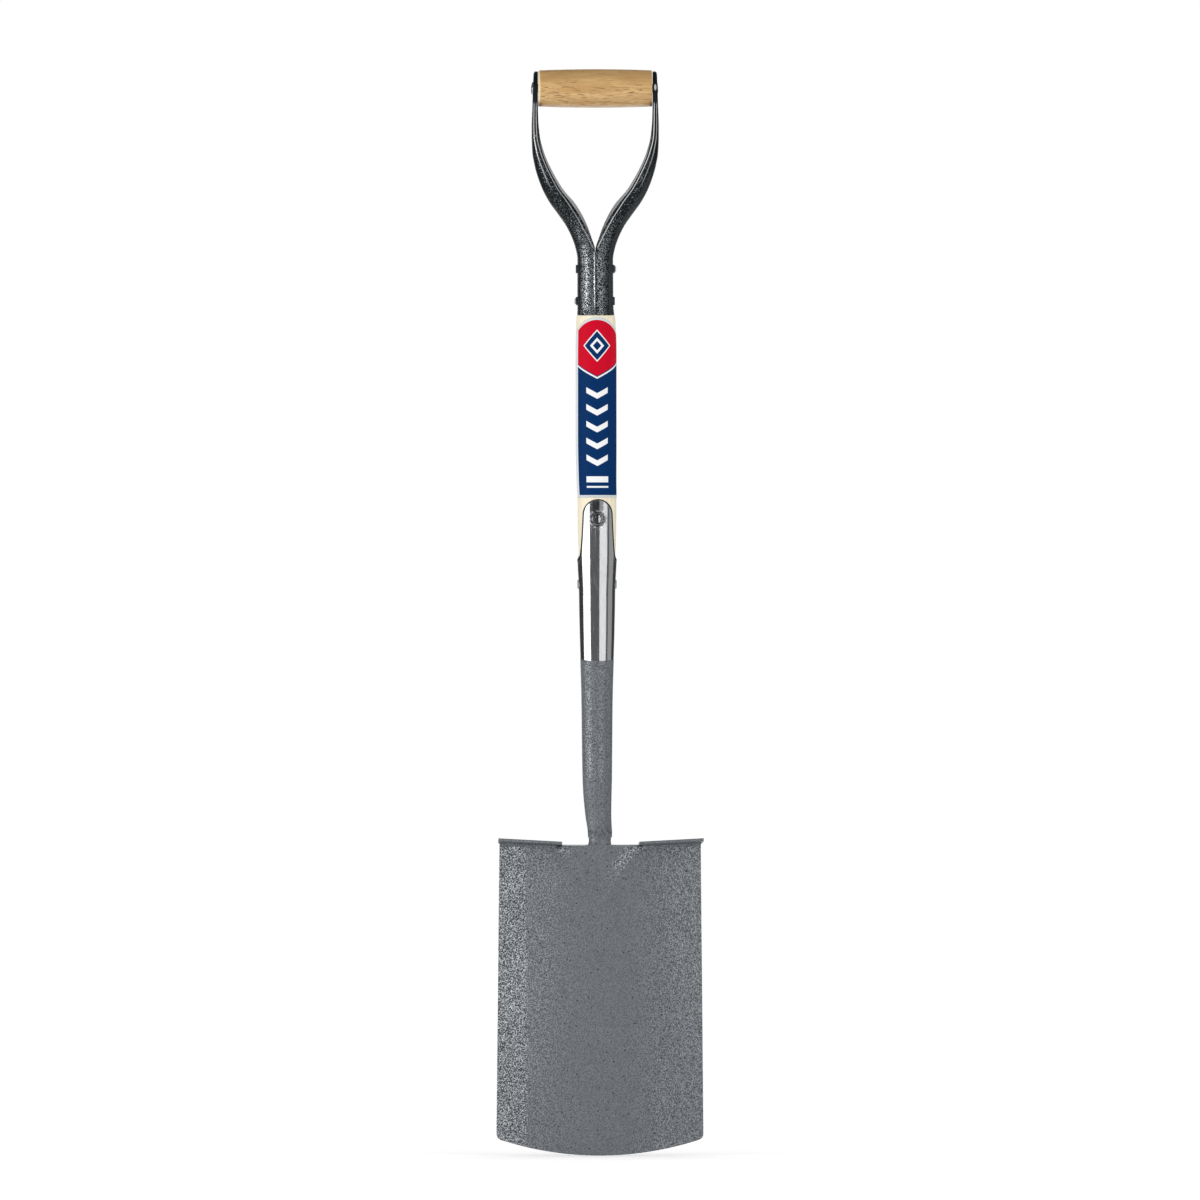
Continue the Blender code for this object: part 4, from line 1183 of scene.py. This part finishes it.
def makeRivets():
    seat = handle["eyeFace"] + 0.1
    rod, head, closed = rivets["gripRod"], rivets["gripHead"], rivets["gripClosed"]
    profile = domed(closed, seat, 0.7) + [(rod, seat), (rod, -seat), (head, -seat)]
    profile += domed(head, -seat - 0.4, -1.9, 12)[::-1]
    piece = toObject("gripRivet", placeShape(turnedShape(profile, 48), alongX, handle["gripHeight"]))
    finishPiece(piece, steelFinish, "bare_steel", "grip_rivet")

    tube, disc, thick = rivets["sleeveTube"], rivets["disc"], rivets["discThick"]
    for name, height, turn in zip(("upper", "lower"), rivets["sleeveHeights"], (alongX, alongMinusX)):
        closedSeat = tube + thick + 0.3
        profile = domed(2.9, closedSeat + 0.3, 0.75)
        profile += [(2.9, closedSeat), (2.5, closedSeat), (2.5, -tube), (disc, -tube)]
        profile += [(disc, -tube - thick + 0.35), (disc - 0.12, -tube - thick + 0.1), (disc - 0.4, -tube - thick)]
        profile += [(disc / 2, -tube - thick - 0.06), (0, -tube - thick - 0.1)]
        shape = turnedShape(profile, 40)
        paleAndReflected = shape.verts.layers.float.new("paleAndReflected")
        for vert in shape.verts:
            vert[paleAndReflected] = vert.co.z > closedSeat + 0.2
        shape = placeShape(saddle(shape, tube, 1), turn, height)
        piece = toObject(name + "SleeveRivet", shape)
        finishPiece(piece, blackFinish, "hammered_black_paint", name + "_sleeve_rivet")
        ring = [(2.8, tube + thick), (disc - 0.4, tube + thick), (disc - 0.12, tube + thick - 0.1)]
        ring += [(disc, tube + thick - 0.35), (disc, tube), (2.8, tube), (2.8, tube + thick)]
        shape = placeShape(saddle(turnedShape(ring, 40), tube, 1), turn, height)
        piece = toObject(name + "SleeveWasher", shape)
        finishPiece(piece, blackFinish, "hammered_black_paint", name + "_sleeve_washer")

    # the strap's rivet: a disc, a groove and a ring round it
    head, tube = rivets["strapHead"], socket["tube"]
    rise = [(0, 0.6), (0.7, 0.6), (1.4, 0.6), (2.1, 0.59), (2.8, 0.56), (3.3, 0.48), (3.6, 0.3), (3.9, 0.1)]
    rise += [(4.3, 0.02), (4.7, 0.12), (5.0, 0.42), (5.25, 0.56), (5.5, 0.5), (5.75, 0.28), (head, 0.0)]
    top = [(r, tube - 0.4 + lift) for r, lift in rise] + [(head, tube - 1.4), (3, tube - 1.4)]
    shape = turnedShape(top + [(r, -h) for r, h in reversed(top)], 64)
    for vert in shape.verts:
        if math.hypot(vert.co.x, vert.co.y) < 3.5:
            vert.co.z += math.copysign(0.75 - 0.26 * max(vert.co.x - 0.4, 0), vert.co.z)
    shape = placeShape(saddle(hammerFlat(shape, 10, 0.3, 4.0), tube, 0), towardFront, rivets["strapHeight"])
    finishPiece(toObject("strapRivet", shape), steelFinish, "bare_steel", "strap_rivet")

    head, tube = rivets["socketHead"], rivets["socketTube"]
    top = [(0, tube + 1.3), (3.2, tube + 1.25), (3.8, tube + 1.1), (head, tube + 0.8)]
    top += [(head, tube - 0.2), (2.5, tube - 0.2)]
    shape = turnedShape(top + [(r, -h) for r, h in reversed(top)], 40)
    shape = placeShape(saddle(hammerFlat(shape, 10, 0.2, 7.0), tube, 1), alongX, rivets["socketHeight"])
    finishPiece(toObject("socketRivet", shape), steelFinish, "bare_steel", "socket_rivet")


makeRivets()
print("rivets made")


def makeLabel():
    look = film
    columns, rows, foot = 72, 60, look["foot"]
    low, high = look["turns"]
    middle, half = math.radians((low + high) / 2), math.radians((high - low) / 2)

    def place(column, row):
        across = 2 * column / columns - 1
        arch = math.cos(across * math.pi / 2) * (look["length"] - look["shoulder"])
        up = (look["shoulder"] + arch) * row / rows
        angle = math.radians(low + (high - low) * column / columns)
        radius = shaftRadius(foot + up) + 0.12
        return (radius * math.sin(angle), -radius * math.cos(angle), foot + up)

    shape = drawnSheet(columns, rows, place)
    sheet = shape.loops.layers.uv.new("sheet")
    for face in shape.faces:
        for loop in face.loops:
            angle = math.atan2(loop.vert.co.x, -loop.vert.co.y)
            loop[sheet].uv = ((angle - middle) / half * look["halfWidth"], loop.vert.co.z - foot)
    piece = toObject("printedLabel", shape)
    wall = piece.modifiers.new("film", "SOLIDIFY")
    wall.thickness = 0.18 * mm
    wall.offset = 1
    finishPiece(piece, filmFinish, "printed_film", "label")


makeLabel()
print("label made")


# floor, light and camera, lengths in metres but for the aim
studio = {
    "floor": 0.80,
    "floorHalf": (1.25, 2.6),
    "floorGlow": 0.34,
    "floorGap": 0.2,  # mm under the cutting edge
    "ambient": 0.84,
    "ambientSide": 0.05,
    "ambientBack": 0.05,
    "dark": 0.14,
    "darkBehind": 0.06,
    "sideGrey": 0.44,
    # name: bearing from the camera in degrees, distance, width, lowest, highest (m), radiance
    "softboxes": {
        "leftPanel": (-69.5, 5, 5.0, -1.2, 0.08, 2.4),
        "leftCore": (-58, 5, 1.5, -0.5, 0.06, 9.0),
        "rightPanel": (38.0, 5, 4.2, -1.2, 0.08, 1.1),
        "highRight": (29, 12, 6.9, 0.96, 2.84, 3.0),
        "highLeft": (-26, 12, 8.7, 0.96, 2.84, 2.6),
    },
    "azimuth": -3.0,
    "lens": 800,
    "distance": 24.6,
    "aimHeight": 511.5,
    "aimRight": 2.8,
}


def makeFloor():
    sheet = bmesh.new()
    bmesh.ops.create_grid(sheet, x_segments=1, y_segments=1, size=1)
    bmesh.ops.scale(sheet, verts=sheet.verts, vec=(*studio["floorHalf"], 1))
    bmesh.ops.translate(sheet, verts=sheet.verts, vec=(0, 0, level(-studio["floorGap"])))
    mesh = bpy.data.meshes.new("studioFloor")
    sheet.to_mesh(mesh)
    sheet.free()
    floor = addObject("studioFloor", mesh)
    finish = Finish("paleFloor", Roughness=0.9, Specular_IOR_Level=0.1)
    seen, shiny, clear = finish.rays()
    lit = finish.least(seen + shiny + clear, 1.0)  # it glows to the camera and in mirrors, and lights nothing
    glow = finish.mix(lit, (0, 0, 0), (studio["floorGlow"],) * 3)
    grey = (studio["floor"],) * 3 + (1,)
    mesh.materials.append(finish.use(Base_Color=grey, Emission_Color=glow, Emission_Strength=1.0))


def makeWorld():
    world = bpy.data.worlds.new("studio")
    world.use_nodes = True
    bpy.context.scene.world = world
    tree = world.node_tree
    tree.nodes.clear()
    finish = Finish.__new__(Finish)
    finish.tree = tree
    seen, shiny, clear = finish.rays()
    x, y, _ = finish.axes(finish.node("TexCoord"))
    # in mirror-like surfaces: the pale backdrop behind the spade, a grey wall on the right, a dark room otherwise
    backdrop = finish.ramp(y, 0.90, 0.93)
    wall = finish.ramp(x, 0.938, 0.953)
    room = studio["dark"] - finish.ramp(y, 0.0, 0.2) * (studio["dark"] - studio["darkBehind"])
    room = room + wall * (studio["sideGrey"] - room)
    mirrored = (shiny + clear) * (room + backdrop * (1 - room))
    fill = studio["ambient"] + x * studio["ambientSide"] + y * studio["ambientBack"]
    plain = (1 - finish.least(seen + shiny + clear, 1.0)) * fill
    level = seen + mirrored + plain
    back = tree.nodes.new("ShaderNodeBackground")
    tree.links.new(level.socket, back.inputs["Strength"])
    out = tree.nodes.new("ShaderNodeOutputWorld")
    tree.links.new(back.outputs[0], out.inputs["Surface"])
    back.inputs["Color"].default_value = (1, 1, 1, 1)


def makeSoftbox(name, bearing, distance, width, low, high, radiance):
    light = bpy.data.lights.new(name, "AREA")
    light.shape = "RECTANGLE"
    light.size = width
    light.size_y = high - low
    light.energy = radiance * math.pi * width * (high - low)
    lamp = addObject(name, light)
    turn = math.radians(bearing + studio["azimuth"])
    away = Vector((math.sin(turn), -math.cos(turn), 0))
    lamp.location = away * distance + Vector((0, 0, (low + high) / 2))
    lamp.rotation_euler = away.to_track_quat("Z", "Y").to_euler()
    lamp.visible_camera = False


def makeCamera():
    camera = addObject("camera", bpy.data.cameras.new("camera"))
    camera.data.lens = studio["lens"]
    camera.data.sensor_width = 36
    turn = math.radians(studio["azimuth"])
    right = Vector((math.cos(turn), math.sin(turn), 0))
    aim = Vector((0, 0, level(studio["aimHeight"]))) + right * studio["aimRight"] * mm
    away = Vector((math.sin(turn), -math.cos(turn), 0))
    camera.location = aim + away * studio["distance"]
    camera.rotation_euler = away.to_track_quat("Z", "Y").to_euler()
    camera.data.clip_start = 0.1
    camera.data.clip_end = 200
    bpy.context.scene.camera = camera


makeFloor()
makeWorld()
for name, values in studio["softboxes"].items():
    makeSoftbox(name, *values)
makeCamera()
bpy.context.scene.view_settings.view_transform = "Standard"
print("studio made")
